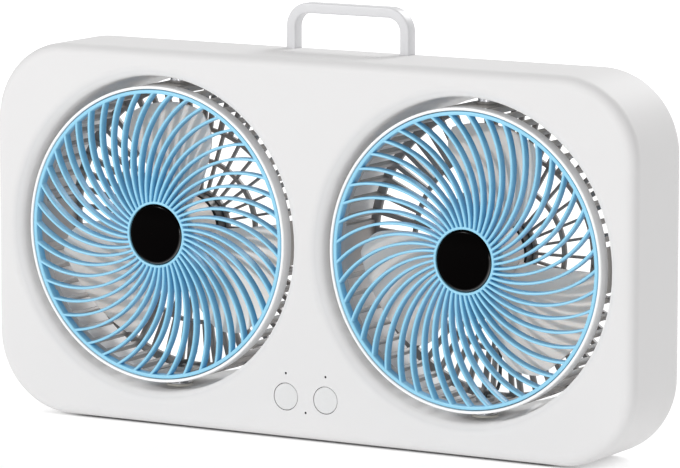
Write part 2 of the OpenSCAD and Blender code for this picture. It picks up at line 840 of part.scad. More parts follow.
// One curved vane: a strip of an arc whose centre lies off to the side of the head's middle
function vane_angle(r) =
    acos((r * r - vane_arc_at * vane_arc_at - vane_arc_r * vane_arc_r) / (2 * vane_arc_at * vane_arc_r));
function vane_side(r) = [for (i = [0:vane_steps])
    let (a0 = vane_angle(hub_ring_r - 0.6), a1 = vane_angle(grille_in + 0.6))
    let (a = a0 + (a1 - a0) * i / vane_steps)
    [vane_arc_at + r * cos(a), r * sin(a)]];
module vane() {
    inner = vane_side(vane_arc_r - vane_t / 2);
    outer = vane_side(vane_arc_r + vane_t / 2);
    polygon(concat(inner, [for (i = [vane_steps:-1:0]) outer[i]]));
}

module front_grille(side) {
    hook_w = 5;
    color("skyblue") at_head(side) mirror([side > 0 ? 1 : 0, 0, 0]) {
        along_y(grille_front, grille_back) {
            ring(grille_r, grille_in);
            ring(hub_ring_r, hub_in);
            for (i = [0:vane_n - 1]) rotate(vane_turn + 360 * i / vane_n) vane();
        }
        along_y(grille_back - hub_floor, grille_back) circle(hub_in + 0.5);
        for (turn = [30:60:330]) rotate([0, -turn, 0])
            block([grille_r - grille_ring, grille_back - 0.01, -hook_w / 2],
                [grille_r - 0.6, band_back - 1.5, hook_w / 2]);
    }
}

// The cap that hides the grille's hub: a shallow dome with a rounded rim
module hub_cap(side) {
    r = hub_in - 0.1;
    seat = grille_back - hub_floor;
    edge = seat - cap_t;
    dome = (r * r + dome_h * dome_h) / (2 * dome_h);
    color("black") at_head(side) turned() {
        translate([0, edge]) square([r, cap_t]);
        intersection() {
            translate([0, edge - dome_h + dome]) circle(dome, $fn = 240);
            translate([0, edge - dome_h]) square([r, dome_h + 0.01]);
        }
    }
}

// Seen from the front: all ribs of the side at their angles
module side_ribs(r0, r1, w) {
    for (quarter = [0:3], i = [0:rib_n - 1]) {
        a = rib_first + i * rib_pitch;
        rotate(quarter % 2 == 0 ? quarter * 90 + a : (quarter + 1) * 90 - a)
            translate([r0, -w / 2]) square([r1 - r0, w]);
    }
}

// The ribbed side of the guard, with the collar that plugs into the white band and the pivot bosses
module guard_side(side) {
    color("dimgray") at_head(side) difference() {
        union() {
            along_y(band_back - 1.5, band_back + 3) ring(collar_out, collar_out - collar_t);
            along_y(band_back, lattice_y) intersection() {
                ring(head_r, guard_in);
                union() {
                    side_ribs(guard_in - 1, head_r + 1, rib_w);
                    for (turn = [0, 180]) rotate(turn) wedge(-side_panel, side_panel, head_r + 2);
                    for (turn = [90, 270]) rotate(turn) wedge(-pivot_panel, pivot_panel, head_r + 2);
                }
            }
            for (up = [0, 180]) rotate([up, 0, 0]) translate([0, 0, boss_in])
                cylinder(r = boss_r, h = boss_out - boss_in);
        }
        for (up = [0, 180]) rotate([up, 0, 0]) translate([0, 0, boss_in - over])
            cylinder(r = pin_r + seat_gap, h = boss_out - boss_in + 2 * over);
    }
}

// The flat back of the guard: a lattice of rings and ribs round the plate that carries the motor
module guard_back(side) {
    rib = rib_w - 0.4;
    color("dimgray") at_head(side) difference() {
        along_y(lattice_y, head_back) {
            ring(head_r, guard_in - 1.5);
            ring(ring_1_r + ring_w / 2, ring_1_r - ring_w / 2);
            ring(ring_2_r + ring_w / 2, ring_2_r - ring_w / 2);
            circle(plate_r);
            side_ribs(ring_2_r, guard_in, rib);
            for (quarter = [0:3], off = [-4.4, 4.4]) rotate(quarter * 90 + off)
                translate([ring_2_r, -rib / 2]) square([guard_in - ring_2_r, rib]);
            for (i = [0:thin_n - 1]) rotate(360 * i / thin_n)
                translate([plate_r - 1, -thin_w / 2]) square([ring_2_r - plate_r + 1, thin_w]);
        }
        at_motor_screws() rod(motor_screw_r + 0.15, lattice_y - over, head_back + over);
    }
}

module at_motor_screws() {
    for (turn = [90:120:330]) rotate([0, -turn, 0]) translate([motor_screw_at, 0, 0]) children();
}

module pivot_pin(side, up, bore) {
    color("silver") at_head(side) rotate([up, 0, 0]) difference() {
        union() {
            translate([0, 0, boss_in]) cylinder(r = pin_r, h = pivot_end - boss_in);
            translate([0, 0, boss_out]) cylinder(r = collar_r, h = collar_at - boss_out);
        }
        if (bore) translate([0, 0, boss_in - over]) cylinder(r = pin_bore, h = pivot_end);
    }
}

// Motor
module motor_can(side) {
    color("silver") at_head(side) difference() {
        union() {
            rod(can_r, can_front, base_front);
            rod(bush_r + 1, can_front - 1.5, can_front + bush_l);
        }
        difference() {
            rod(can_r - can_t, can_front + can_t, base_front + over);
            rod(bush_r + 1, can_front, can_front + bush_l - 1);
        }
        rod(bush_r + seat_gap, can_front - 1, can_front + bush_l + over);
        rod(shaft_r + 0.5, can_front - 3, can_front + over);
    }
}

module motor_end_cap(side) {
    color("#222222") at_head(side) difference() {
        rod(base_r, base_front, lattice_y);
        difference() {
            rod(base_r - 1.5, base_front + 1.2, lattice_y - 1.5);
            rod(bush_r + 1.2, lattice_y - bush_l - 1.2, lattice_y);
            at_motor_screws() rod(2.6, base_front, lattice_y);
        }
        rod(can_r - can_t, base_front - over, base_front + 2);
        rod(bush_r + seat_gap, lattice_y - bush_l - 1.2 - over, lattice_y - 1);
        at_motor_screws() rod(motor_screw_r - 0.15 + 0.2, lattice_y - 5, lattice_y + over);
    }
}

module motor_magnets(side) {
    color("dimgray") at_head(side) for (turn = [0, 180]) rotate([0, turn, 0])
        along_y(magnet_front, magnet_back) intersection() {
            ring(magnet_r, magnet_r - magnet_t);
            wedge(-magnet_half, magnet_half, magnet_r * 1.6);
        }
}

module motor_bushes(side) {
    color("goldenrod") at_head(side) for (y = [can_front - 1, lattice_y - 1 - bush_l]) difference() {
        rod(bush_r, y, y + bush_l);
        rod(shaft_r + shaft_gap, y - over, y + bush_l + over);
    }
}

module motor_brushes(side) {
    brush_y = base_front + 2.2;
    color("darkgoldenrod") at_head(side) for (turn = [0, 180]) rotate([0, turn, 0])
        block([commutator_r + 0.1, brush_y - 1, -1.2], [base_r - 1.5 - 0.1, brush_y + 1, 1.2]);
}

module motor_screws(side) {
    color("silver") at_head(side) at_motor_screws() translate([0, head_back, 0])
        screw(motor_screw_r - 0.05, guard_t + 4, 2.4, 1.4);
}

module motor_lead(side) {
    color("dimgray") at_head(side) tube(motor_route, lead_r);
}

// Rotor
// A blade is a sheet between the hub and the tip, set so that its leading edge lies at the back
blade_rows = 12;
blade_cols = 12;
function blade_point(i, j, face) =
    let (t = i / blade_rows, s = 2 * j / blade_cols - 1, r = rotor_r - 1 + (blade_r - rotor_r + 1) * t,
        round_off = 1 - 0.25 * pow(max(0, t - 0.75) / 0.25, 2),
        half = (blade_half_in + (blade_half_out - blade_half_in) * t) * round_off,
        a = blade_sweep * t + half * s,
        belly = (1 - s * s) * 1.6,
        thin = blade_t * (0.45 + 0.55 * (1 - s * s)) / 2,
        lift = s * (blade_d / 2 - blade_t / 2) * (0.8 + 0.2 * t) * round_off)
    [r * cos(a), (rotor_front + rotor_back) / 2 - 0.5 + lift + belly + face * thin, r * sin(a)];
module blade() {
    across_n = blade_cols + 1;
    one = (blade_rows + 1) * across_n;
    points = [for (face = [-1, 1], i = [0:blade_rows], j = [0:blade_cols]) blade_point(i, j, face)];
    function at(face, i, j) = face * one + i * across_n + j;
    skin = [for (face = [0, 1], i = [0:blade_rows - 1], j = [0:blade_cols - 1], half = [0, 1])
        let (a = at(face, i, j), b = at(face, i, j + 1), c = at(face, i + 1, j), d = at(face, i + 1, j + 1))
        face == 0 ? (half == 0 ? [a, b, c] : [b, d, c]) : (half == 0 ? [a, c, b] : [b, c, d])];
    rim_ij = concat([for (j = [0:blade_cols - 1]) [0, j]], [for (i = [0:blade_rows - 1]) [i, blade_cols]],
        [for (j = [blade_cols:-1:1]) [blade_rows, j]], [for (i = [blade_rows:-1:1]) [i, 0]]);
    rim_n = len(rim_ij);
    rim = [for (k = [0:rim_n - 1], half = [0, 1])
        let (p = rim_ij[k], q = rim_ij[(k + 1) % rim_n],
            a = at(0, p[0], p[1]), b = at(0, q[0], q[1]), c = at(1, p[0], p[1]), d = at(1, q[0], q[1]))
        half == 0 ? [a, c, b] : [b, c, d]];
    polyhedron(points, concat(skin, rim));
}

module fan_blade(side) {
    color("gainsboro") at_head(side) {
        for (i = [0:blade_n - 1])
            rotate([0, -(side > 0 ? right_turn : left_turn) - 360 * i / blade_n, 0]) blade();
        difference() {
            union() {
                difference() {
                    rod(rotor_r, rotor_front, rotor_back);
                    rod(rotor_r - rotor_wall, rotor_front + rotor_wall, rotor_back + over);
                }
                rod(4, rotor_front, can_front - 1.9);
            }
            rod(shaft_r + seat_gap, rotor_front + 1, rotor_back);
        }
    }
}

module motor_shaft(side) {
    color("silver") at_head(side) rod(shaft_r, rotor_front + 1.2, shaft_end - 0.6);
}

module armature(side) {
    slot_n = 3;
    color("chocolate") at_head(side) difference() {
        union() {
            along_y(magnet_front + 0.5, magnet_back - 0.5) difference() {
                circle(armature_r);
                for (turn = [30:360 / slot_n:330]) rotate(turn) translate([armature_r * 0.62, 0]) {
                    circle(armature_r * 0.24);
                    translate([0, -0.6]) square([armature_r, 1.2]);
                }
            }
            rod(commutator_r, magnet_back - 1, base_front + 3);
        }
        rod(shaft_r + seat_gap, can_front, lattice_y);
    }
}

front_cover();
rear_cover();
casing_screws();
rubber_feet();
pivot_bushes();
pivot_washers();
carry_handle();
handle_guides();
button(left);  // left_button
button(right);  // right_button
switch_plunger(left);  // left_switch_plunger
switch_plunger(right);  // right_switch_plunger
tact_switches();
control_board();
board_screws();
indicator_lenses();
indicator_leds();
battery_holder();
battery_cells();
charge_board();
charge_port();
battery_lead();
charge_lead();
pivot_lead(left);  // left_pivot_lead
pivot_lead(right);  // right_pivot_lead
head_ring(left);  // left_head_ring
front_grille(left);  // left_front_grille
hub_cap(left);  // left_hub_cap
guard_side(left);  // left_guard_side
guard_back(left);  // left_guard_back
pivot_pin(left, 0, false);  // left_upper_pivot_pin
pivot_pin(left, 180, true);  // left_lower_pivot_pin
motor_can(left);  // left_motor_can
motor_end_cap(left);  // left_motor_end_cap
motor_magnets(left);  // left_motor_magnets
motor_bushes(left);  // left_motor_bushes
motor_brushes(left);  // left_motor_brushes
motor_screws(left);  // left_motor_screws
motor_lead(left);  // left_motor_lead
fan_blade(left);  // left_fan_blade
motor_shaft(left);  // left_motor_shaft
armature(left);  // left_armature
head_ring(right);  // right_head_ring
front_grille(right);  // right_front_grille
hub_cap(right);  // right_hub_cap
guard_side(right);  // right_guard_side
guard_back(right);  // right_guard_back
pivot_pin(right, 0, false);  // right_upper_pivot_pin
pivot_pin(right, 180, true);  // right_lower_pivot_pin
motor_can(right);  // right_motor_can
motor_end_cap(right);  // right_motor_end_cap
motor_magnets(right);  // right_motor_magnets
motor_bushes(right);  // right_motor_bushes
motor_brushes(right);  // right_motor_brushes
motor_screws(right);  // right_motor_screws
motor_lead(right);  // right_motor_lead
fan_blade(right);  // right_fan_blade
motor_shaft(right);  // right_motor_shaft
armature(right);  // right_armature
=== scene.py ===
import math

import bmesh
import bpy
from mathutils import Matrix, Vector


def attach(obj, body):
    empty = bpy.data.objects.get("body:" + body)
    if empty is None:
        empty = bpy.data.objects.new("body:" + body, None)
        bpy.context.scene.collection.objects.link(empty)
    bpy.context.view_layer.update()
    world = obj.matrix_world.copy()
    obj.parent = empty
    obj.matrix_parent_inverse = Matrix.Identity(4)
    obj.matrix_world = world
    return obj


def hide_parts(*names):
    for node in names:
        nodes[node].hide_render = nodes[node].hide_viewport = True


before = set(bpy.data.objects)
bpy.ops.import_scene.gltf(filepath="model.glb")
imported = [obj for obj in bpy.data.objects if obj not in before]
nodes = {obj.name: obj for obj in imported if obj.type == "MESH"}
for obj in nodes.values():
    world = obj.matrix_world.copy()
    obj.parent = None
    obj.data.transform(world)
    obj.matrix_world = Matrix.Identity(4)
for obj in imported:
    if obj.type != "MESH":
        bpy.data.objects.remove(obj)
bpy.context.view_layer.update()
scene = bpy.context.scene

# Camera
# A long lens, thirty degrees to the right of the fan's front and a little above it. The values come
# from fitting the casing's outline and both round openings.
MM = 0.001
YAW, PITCH, ROLL = (math.radians(a) for a in (30.066, 8.262, 0.072))
AIM = Vector((6.021, 0, 106.887)) * MM
DISTANCE = 2662.34 * MM
LENS, SENSOR = 269.5, 36

forward = Vector((-math.sin(YAW) * math.cos(PITCH), math.cos(YAW) * math.cos(PITCH),
                  -math.sin(PITCH)))
level = Vector((math.cos(YAW), math.sin(YAW), 0))
upward = level.cross(forward)
to_right = level * math.cos(ROLL) + upward * math.sin(ROLL)
to_top = upward * math.cos(ROLL) - level * math.sin(ROLL)
long_lens = bpy.data.cameras.new("camera")
long_lens.sensor_fit = "HORIZONTAL"
long_lens.sensor_width = SENSOR
long_lens.lens = LENS
long_lens.clip_end = 50
camera = bpy.data.objects.new("camera", long_lens)
place = Matrix((to_right, to_top, -forward)).transposed().to_4x4()
place.translation = AIM - forward * DISTANCE
camera.matrix_world = place
scene.collection.objects.link(camera)
scene.camera = camera
scene.view_settings.view_transform = "Standard"


# Studio
# A white table in a white room. A small lamp in front at the left is hard enough for the vanes to
# cast stripes on the blades; broad ones light the side, the openings and the blades' backs. The
# camera and reflections see plain white; the table keeps the shadow, and its glow is cut out under
# the casing as a painted shadow.
class Wire:
    """A socket of a node tree. Arithmetic on it adds the Math nodes that work it out."""

    def __init__(self, net, socket):
        self.net, self.socket = net, socket

    def of(self, output):
        """Another output of the same node."""
        return Wire(self.net, self.net.find(self.socket.node.outputs, output))

    def math(self, operation, *values):
        return self.net.add("ShaderNodeMath", {"operation": operation}, dict(enumerate(values)))

    def __add__(self, other):
        return self.math("ADD", self, other)

    def __radd__(self, other):
        return self.math("ADD", other, self)

    def __sub__(self, other):
        return self.math("SUBTRACT", self, other)

    def __rsub__(self, other):
        return self.math("SUBTRACT", other, self)

    def __mul__(self, other):
        return self.math("MULTIPLY", self, other)

    def __rmul__(self, other):
        return self.math("MULTIPLY", other, self)

    def __truediv__(self, other):
        return self.math("DIVIDE", self, other)

    def __gt__(self, other):
        return self.math("GREATER_THAN", self, other)

    def floor(self):
        return self.math("FLOOR", self)


class Net:
    """A node tree that nodes are added to, each with its settings and its sockets' values."""

    def __init__(self, tree):
        self.tree = tree
        tree.nodes.clear()

    def find(self, sockets, key):
        if isinstance(key, int):
            return sockets[key]
        named = [s for s in sockets if key in (s.identifier, s.name)]
        return ([s for s in named if s.enabled] or named)[0]

    def add(self, kind, settings=None, sockets=None, out=0):
        node = self.tree.nodes.new(kind)
        for key, value in (settings or {}).items():
            setattr(node, key, value)
        for key, value in (sockets or {}).items():
            socket = self.find(node.inputs, key)
            if isinstance(value, Wire):
                self.tree.links.new(value.socket, socket)
            elif isinstance(value, list):
                for one in value:
                    self.tree.links.new(one.socket, socket)
            elif socket.type == "RGBA":
                socket.default_value = (*value, 1)
            else:
                socket.default_value = value
        return Wire(self, self.find(node.outputs, out)) if node.outputs else None

    def mix(self, share, a, b):
        """A colour between two others."""
        return self.add("ShaderNodeMix", {"data_type": "RGBA"},
                        {"Factor_Float": share, "A_Color": a, "B_Color": b}, "Result_Color")

    def noise(self, where, scale, detail):
        """A soft cloud over the surface, around a half."""
        return self.add("ShaderNodeTexNoise", None,
                        {"Vector": where, "Scale": scale, "Detail": detail})

    def along(self, vector, axis):
        """One of a vector's three parts."""
        return self.add("ShaderNodeSeparateXYZ", None, {"Vector": vector}, axis)

    def ramp(self, value, first, last, at_first=1.0, at_last=0.0):
        """Runs from one number to another while the value runs from first to last."""
        return self.add("ShaderNodeMapRange", {"clamp": True}, {
            "Value": value, "From Min": first, "From Max": last,
            "To Min": at_first, "To Max": at_last})


def material(name):
    made = bpy.data.materials.new(name)
    made.use_nodes = True
    return made, Net(made.node_tree)


def seen_directly(net):
    """1 for what the camera, a reflection or glass looks at, and 0 for light that lands softly."""
    path = net.add("ShaderNodeLightPath")
    looked = path.of("Is Camera Ray") + path.of("Is Glossy Ray") + path.of("Is Transmission Ray")
    return looked.math("MINIMUM", looked, 1)


# The table's glow: its strength, the share of it that lands on things, and the shares that are seen
# near the fan and far from it, each after its distance in metres.
GLOW, GLOW_ON_THINGS = 1.9, 0.18
GLOW_NEAR, GLOW_FAR = (0.6, 0.35), (2.4, 0.62)
# No glow under the casing, a painted shadow: millimetres from its middle up to which there is
# none, and from which there is all of it.
PAINTED_SHADOW_X, PAINTED_SHADOW_Y = (140, 172), (21, 25)
TABLE_HALF = 6
ROOM_ON_THINGS, ROOM_SEEN = 0.45, 1.0
WHITE = (1, 1, 1)

table_white, net = material("table_white")
spot = net.add("ShaderNodeTexCoord", out="Object")
matt = net.add("ShaderNodeBsdfPrincipled", None, {
    "Base Color": net.mix(net.noise(spot, 3.0, 2.0), (0.80, 0.80, 0.80), (0.82, 0.82, 0.82)),
    "Roughness": 0.9})
glow = net.add("ShaderNodeEmission", None, {"Color": WHITE, "Strength": GLOW})
distance = net.add("ShaderNodeVectorMath", {"operation": "LENGTH"}, {0: spot}, "Value")
away = net.ramp(distance, GLOW_NEAR[0], GLOW_FAR[0], GLOW_NEAR[1], GLOW_FAR[1])
# Painted shadow: the glow is taken away under the casing.
under = 1
for axis, (dark, lit) in (("X", PAINTED_SHADOW_X), ("Y", PAINTED_SHADOW_Y)):
    part = net.along(spot, axis)
    under = net.ramp(part.math("ABSOLUTE", part), dark * MM, lit * MM) * under
glow_share = (GLOW_ON_THINGS + seen_directly(net) * (away - GLOW_ON_THINGS)) * (1 - under)
surface = net.add("ShaderNodeMixShader", None, {0: glow_share, 1: matt, 2: glow})
net.add("ShaderNodeOutputMaterial", None, {"Surface": surface})

sheet = bmesh.new()
bmesh.ops.create_grid(sheet, x_segments=2, y_segments=2, size=TABLE_HALF)
table_mesh = bpy.data.meshes.new("table")
sheet.to_mesh(table_mesh)
sheet.free()
table = bpy.data.objects.new("table", table_mesh)
table_mesh.materials.append(table_white)
scene.collection.objects.link(table)

room = bpy.data.worlds.new("room")
room.use_nodes = True
scene.world = room
net = Net(room.node_tree)
soft = net.add("ShaderNodeBackground", None, {"Color": WHITE, "Strength": ROOM_ON_THINGS})
white = net.add("ShaderNodeBackground", None, {"Color": WHITE, "Strength": ROOM_SEEN})
surface = net.add("ShaderNodeMixShader", None, {0: seen_directly(net), 1: soft, 2: white})
net.add("ShaderNodeOutputWorld", None, {"Surface": surface})

# Square lamps that face the fan: name, place in metres, width in metres, watts.
LAMPS = (("key_light", (-1.4, -2.62, 1.3), 0.12, 35), ("right_light", (3.0, -0.7, 0.9), 1.4, 1.5),
         ("fill_light", (1.1, -2.6, 0.3), 0.5, 9), ("back_light", (0.4, 2.0, 1.7), 1.2, 36))
LIT_POINT = Vector((0, 0, 0.1))
for name, at, width, watts in LAMPS:
    lamp = bpy.data.lights.new(name, "AREA")
    lamp.size = width
    lamp.energy = watts
    holder = bpy.data.objects.new(name, lamp)
    holder.location = at
    holder.rotation_euler = (LIT_POINT - Vector(at)).to_track_quat("-Z", "Y").to_euler()
    scene.collection.objects.link(holder)


# Casing
# Two injection-moulded covers of satin white ABS that meet in one seam near the back. Both round
# openings and their flared mouths are moulded in. The CAD solids are shown as they are.
def paint(red, green, blue):
    """The linear colour of these screen values from 0 to 255."""
    return tuple(v / 255 / 12.92 if v <= 10 else ((v / 255 + 0.055) / 1.055) ** 2.4
                 for v in (red, green, blue))


def shade(colour, factor):
    return tuple(min(1, c * factor) for c in colour)


def skin(net, colour, roughness, height, grain, depth=0.05, more=None):
    """Ends a material with its colour, its roughness and a relief this many millimetres deep."""
    relief = net.add("ShaderNodeBump", None,
                     {"Strength": grain, "Distance": depth * MM, "Height": height})
    surface = net.add("ShaderNodeBsdfPrincipled", None, {
        "Base Color": colour, "Roughness": roughness, "Normal": relief, **(more or {})})
    net.add("ShaderNodeOutputMaterial", None, {"Surface": surface})


def finish(name, colour, roughness, drift=0.03, drift_scale=35, grain_scale=1800, grain=0.04,
           gloss_drift=0.05, **more):
    """A moulded or machined surface whose colour and gloss drift slowly, under a fine grain."""
    made, net = material(name)
    where = net.add("ShaderNodeTexCoord", out="Object")
    slow = net.noise(where, drift_scale, 3.0)
    fine = net.noise(where, grain_scale, 2.0)
    tone = net.mix(slow, shade(colour, 1 - drift), shade(colour, 1 + drift))
    gloss = roughness + (slow - 0.5) * gloss_drift + (fine - 0.5) * gloss_drift * 0.6
    skin(net, tone, gloss, fine, grain, more=more)
    return made


def dress(names, look):
    """Gives CAD nodes a material."""
    for name in names:
        nodes[name].data.materials.clear()
        nodes[name].data.materials.append(look)


HEAD_AT = (92.8, 0, 102.2)
OPENING_R, FACE_R = 84, 87


def casing_white_look():
    """Satin white, with painted light: the walls of the openings are painted whiter than the face
    where they lie in shade.
    """
    made, net = material("casing_white")
    where = net.add("ShaderNodeTexCoord", out="Object")
    x, z = net.along(where, "X"), net.along(where, "Z")
    beside = x.math("ABSOLUTE", x) - HEAD_AT[0] * MM
    above = z - HEAD_AT[2] * MM
    from_axis = beside.math("SQRT", beside * beside + above * above)
    # Painted light: the walls of the openings are made whiter.
    painted_throat_light = net.ramp(from_axis, OPENING_R * MM, FACE_R * MM)
    slow = net.noise(where, 14, 3.0)
    face = net.mix(slow, paint(226, 225, 225), paint(229, 228, 228))
    skin(net, net.mix(painted_throat_light, face, paint(253, 253, 253)), 0.55 + slow * 0.06,
         net.noise(where, 2600, 2.0), 0.05)
    return made


casing_white = casing_white_look()
dress(["front_cover", "rear_cover"], casing_white)


# Casing screws
# Eight zinc-plated self-tapping screws with pan heads and cross recesses, in wells in the back.
def form(name, sizes, plan, look, seats=None):
    """Runs a Geometry Nodes tree with these named sizes and counts, and gives its result as a plain
    mesh. The seats are the points that it may start from."""
    tree = bpy.data.node_groups.new(name, "GeometryNodeTree")
    net = Net(tree)
    tree.interface.new_socket("Seats", in_out="INPUT", socket_type="NodeSocketGeometry")
    labels = {}
    for label, value in sizes.items():
        kind = "NodeSocketInt" if isinstance(value, int) else "NodeSocketFloat"
        socket = tree.interface.new_socket(label, in_out="INPUT", socket_type=kind)
        labels[label] = socket.identifier
    tree.interface.new_socket("Shape", in_out="OUTPUT", socket_type="NodeSocketGeometry")
    start = net.add("NodeGroupInput")
    shape = plan(net, start, {label: start.of(label) for label in sizes})
    solid = net.add("GeometryNodeRealizeInstances", None, {"Geometry": shape})
    coated = net.add("GeometryNodeSetMaterial", None, {"Geometry": solid, "Material": look})
    net.add("NodeGroupOutput", None, {"Shape": coated})
    mesh = bpy.data.meshes.new(name)
    mesh.from_pydata([Vector(s) * MM for s in seats or [(0, 0, 0)]], [], [])
    holder = bpy.data.objects.new(name, mesh)
    scene.collection.objects.link(holder)
    modifier = holder.modifiers.new(name, "NODES")
    modifier.node_group = tree
    for label, value in sizes.items():
        modifier[labels[label]] = value if isinstance(value, int) else value * MM
    return settled(holder)


def settled(holder):
    """Takes the plain mesh that an object's modifiers make, and removes the object."""
    bpy.context.view_layer.update()
    evaluated = holder.evaluated_get(bpy.context.evaluated_depsgraph_get())
    result = bpy.data.meshes.new_from_object(evaluated)
    bpy.data.objects.remove(holder)
    return result


MERGE = 0.002


def tidied(mesh, crease=32):
    """Merges doubled points, turns the faces outwards and smooths all but the creases."""
    work = bmesh.new()
    work.from_mesh(mesh)
    bmesh.ops.remove_doubles(work, verts=work.verts, dist=MERGE * MM)
    bmesh.ops.recalc_face_normals(work, faces=work.faces)
    work.to_mesh(mesh)
    work.free()
    mesh.shade_smooth()
    mesh.set_sharp_from_angle(angle=math.radians(crease))
    return mesh


def fit(name, mesh, body, slot, *stands_for, look=None):
    """Makes a mesh a piece of the fan that rides on a body and stands for CAD nodes."""
    piece = bpy.data.objects.new(name, mesh)
    if look:
        mesh.materials.clear()
        mesh.materials.append(look)
    scene.collection.objects.link(piece)
    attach(piece, body)
    if stands_for:
        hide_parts(*stands_for)
    return piece


def shifted(net, shape, **by):
    """A shape or a path, moved along its axes."""
    way = net.add("ShaderNodeCombineXYZ", None, by)
    return net.add("GeometryNodeTransform", None, {"Geometry": shape, "Translation": way})


def block(net, **size):
    edges = net.add("ShaderNodeCombineXYZ", None, size)
    return net.add("GeometryNodeMeshCube", None, {"Size": edges}, "Mesh")


def rod(net, sides, radius, depth):
    return net.add("GeometryNodeMeshCylinder", None,
                   {"Vertices": sides, "Radius": radius, "Depth": depth}, "Mesh")


def cone(net, sides, top, bottom, depth):
    return net.add("GeometryNodeMeshCone", None, {
        "Vertices": sides, "Radius Top": top, "Radius Bottom": bottom, "Depth": depth}, "Mesh")


# Shares of a screw head's height and radius.
HEAD_WALL, HEAD_TOP, SLOT_LONG, SLOT_WIDE, SLOT_AT = 0.45, 0.72, 1.2, 0.3, 0.95


def screw_plan(net, start, size):
    """A shank, a head with a sloped edge and two crossed slots, along +Y at each seat."""
    rise, radius = size["Head height"], size["Head radius"]
    shank = rod(net, 20, size["Shank radius"], size["Length"])
    shank = shifted(net, shank, Z=size["Length"] * -0.5 + 0.1 * MM)
    wall = shifted(net, rod(net, 40, radius, rise * HEAD_WALL), Z=rise * (HEAD_WALL / 2))
    cut = cone(net, 40, radius * HEAD_TOP, radius, rise * (1 - HEAD_WALL))
    cut = shifted(net, cut, Z=rise * HEAD_WALL - 0.02 * MM)
    for long_way, short_way in (("X", "Y"), ("Y", "X")):
        slot = block(net, **{long_way: radius * SLOT_LONG, short_way: radius * SLOT_WIDE,
                             "Z": rise})
        cut = net.add("GeometryNodeMeshBoolean", {"operation": "DIFFERENCE", "solver": "EXACT"},
                      {"Mesh 1": cut, "Mesh 2": [shifted(net, slot, Z=rise * SLOT_AT)]}, "Mesh")
    screw = net.add("GeometryNodeJoinGeometry", None, {"Geometry": [shank, wall, cut]})
    screw = net.add("GeometryNodeTransform", None,
                    {"Geometry": screw, "Rotation": (-math.pi / 2, 0, 0)})
    return net.add("GeometryNodeInstanceOnPoints", None, {"Points": start, "Instance": screw})


CORNER_SCREWS_X, CORNER_SCREWS_Z = 168.4, (24.6, 177.4)
MIDDLE_SCREWS, SCREWS_Y = ((52, 188.3), (60, 11.2)), 24.4
screw_zinc = finish("screw_zinc", paint(176, 178, 182), 0.32, drift=0.06, grain=0.12, Metallic=1.0)
casing_seats = [(s * CORNER_SCREWS_X, SCREWS_Y, z) for s in (-1, 1) for z in CORNER_SCREWS_Z]
casing_seats += [(s * x, SCREWS_Y, z) for s in (-1, 1) for x, z in MIDDLE_SCREWS]
casing_screw_sizes = {"Shank radius": 1.45, "Length": 16.1, "Head radius": 2.8, "Head height": 2.0}
mesh = form("casing_screw_set", casing_screw_sizes, screw_plan, screw_zinc, casing_seats)
fit("casing_screw_set", tidied(mesh), "casing", "screw_steel", "casing_screws")


# Feet
# Four soft grey rubber feet, pressed into holes in the bottom by a stud. Each has a rounded edge.
PAD_SHARE, EDGE_SHARE, EDGE_IN = 0.62, 0.4, 0.92


def foot_plan(net, start, size):
    pad = shifted(net, rod(net, 48, size["Radius"], size["Height"] * PAD_SHARE),
                  Z=size["Height"] * (1 - PAD_SHARE / 2))
    edge = cone(net, 48, size["Radius"], size["Radius"] * EDGE_IN, size["Height"] * EDGE_SHARE)
    stud = shifted(net, rod(net, 24, size["Stud radius"], size["Stud height"]),
                   Z=size["Stud height"] * 0.5)
    foot = net.add("GeometryNodeJoinGeometry", None, {"Geometry": [pad, edge, stud]})
    return net.add("GeometryNodeInstanceOnPoints", None, {"Points": start, "Instance": foot})


FEET_X, FEET_Y = 135, 12
foot_sizes = {"Radius": 6.0, "Height": 1.0, "Stud radius": 2.0, "Stud height": 4.0}
foot_rubber = finish("foot_rubber", paint(70, 70, 74), 0.75, drift=0.08, grain_scale=1200,
                     grain=0.3)
foot_seats = [(s * FEET_X, t * FEET_Y, 0) for s in (-1, 1) for t in (-1, 1)]
mesh = form("foot_set", foot_sizes, foot_plan, foot_rubber, foot_seats)
fit("foot_set", tidied(mesh), "casing", "rubber_grey", "rubber_feet")


# Carry handle
# One white moulded bar bent to a U. It slides down into the casing until its bends meet the top.
# Its edges are well rounded, and a small stop at the foot of each leg keeps it in.
FLAT, HANDLE_EDGE = 0.5, 0.9


def clean_copy(node):
    """A CAD node's mesh with its points merged, and faces within FLAT degrees made one."""
    source = nodes[node].data
    mesh = bpy.data.meshes.new(node + "_copy")
    faces = [list(p.vertices) for p in source.polygons]
    mesh.from_pydata([v.co for v in source.vertices], [], faces)
    work = bmesh.new()
    work.from_mesh(mesh)
    bmesh.ops.remove_doubles(work, verts=work.verts, dist=MERGE * MM)
    bmesh.ops.dissolve_limit(work, angle_limit=math.radians(FLAT), verts=work.verts,
                             edges=work.edges)
    bmesh.ops.recalc_face_normals(work, faces=work.faces)
    work.to_mesh(mesh)
    work.free()
    return mesh


def edges_rounded(mesh, radius, steps=4, over=35):
    """Rounds a mesh's edges that are sharper than an angle."""
    holder = bpy.data.objects.new(mesh.name, mesh)
    scene.collection.objects.link(holder)
    bevel = holder.modifiers.new("edges", "BEVEL")
    bevel.width = radius * MM
    bevel.segments = steps
    bevel.limit_method = "ANGLE"
    bevel.angle_limit = math.radians(over)
    bevel.use_clamp_overlap = True
    bevel.harden_normals = False
    result = settled(holder)
    result.shade_smooth()
    result.set_sharp_from_angle(angle=math.radians(over))
    return result


handle_white = finish("handle_white", paint(221, 221, 223), 0.38, drift=0.012, drift_scale=25,
                      grain=0.05)
fit("handle_bar", edges_rounded(clean_copy("carry_handle"), HANDLE_EDGE), "handle",
    "handle_white", "carry_handle", look=handle_white)

# Handle guides
# Grey acetal sleeves inside the top that the legs slide in. They hardly show.
guide_acetal = finish("guide_acetal", paint(120, 121, 124), 0.5, drift=0.04, grain=0.1)
dress(["handle_guides"], guide_acetal)


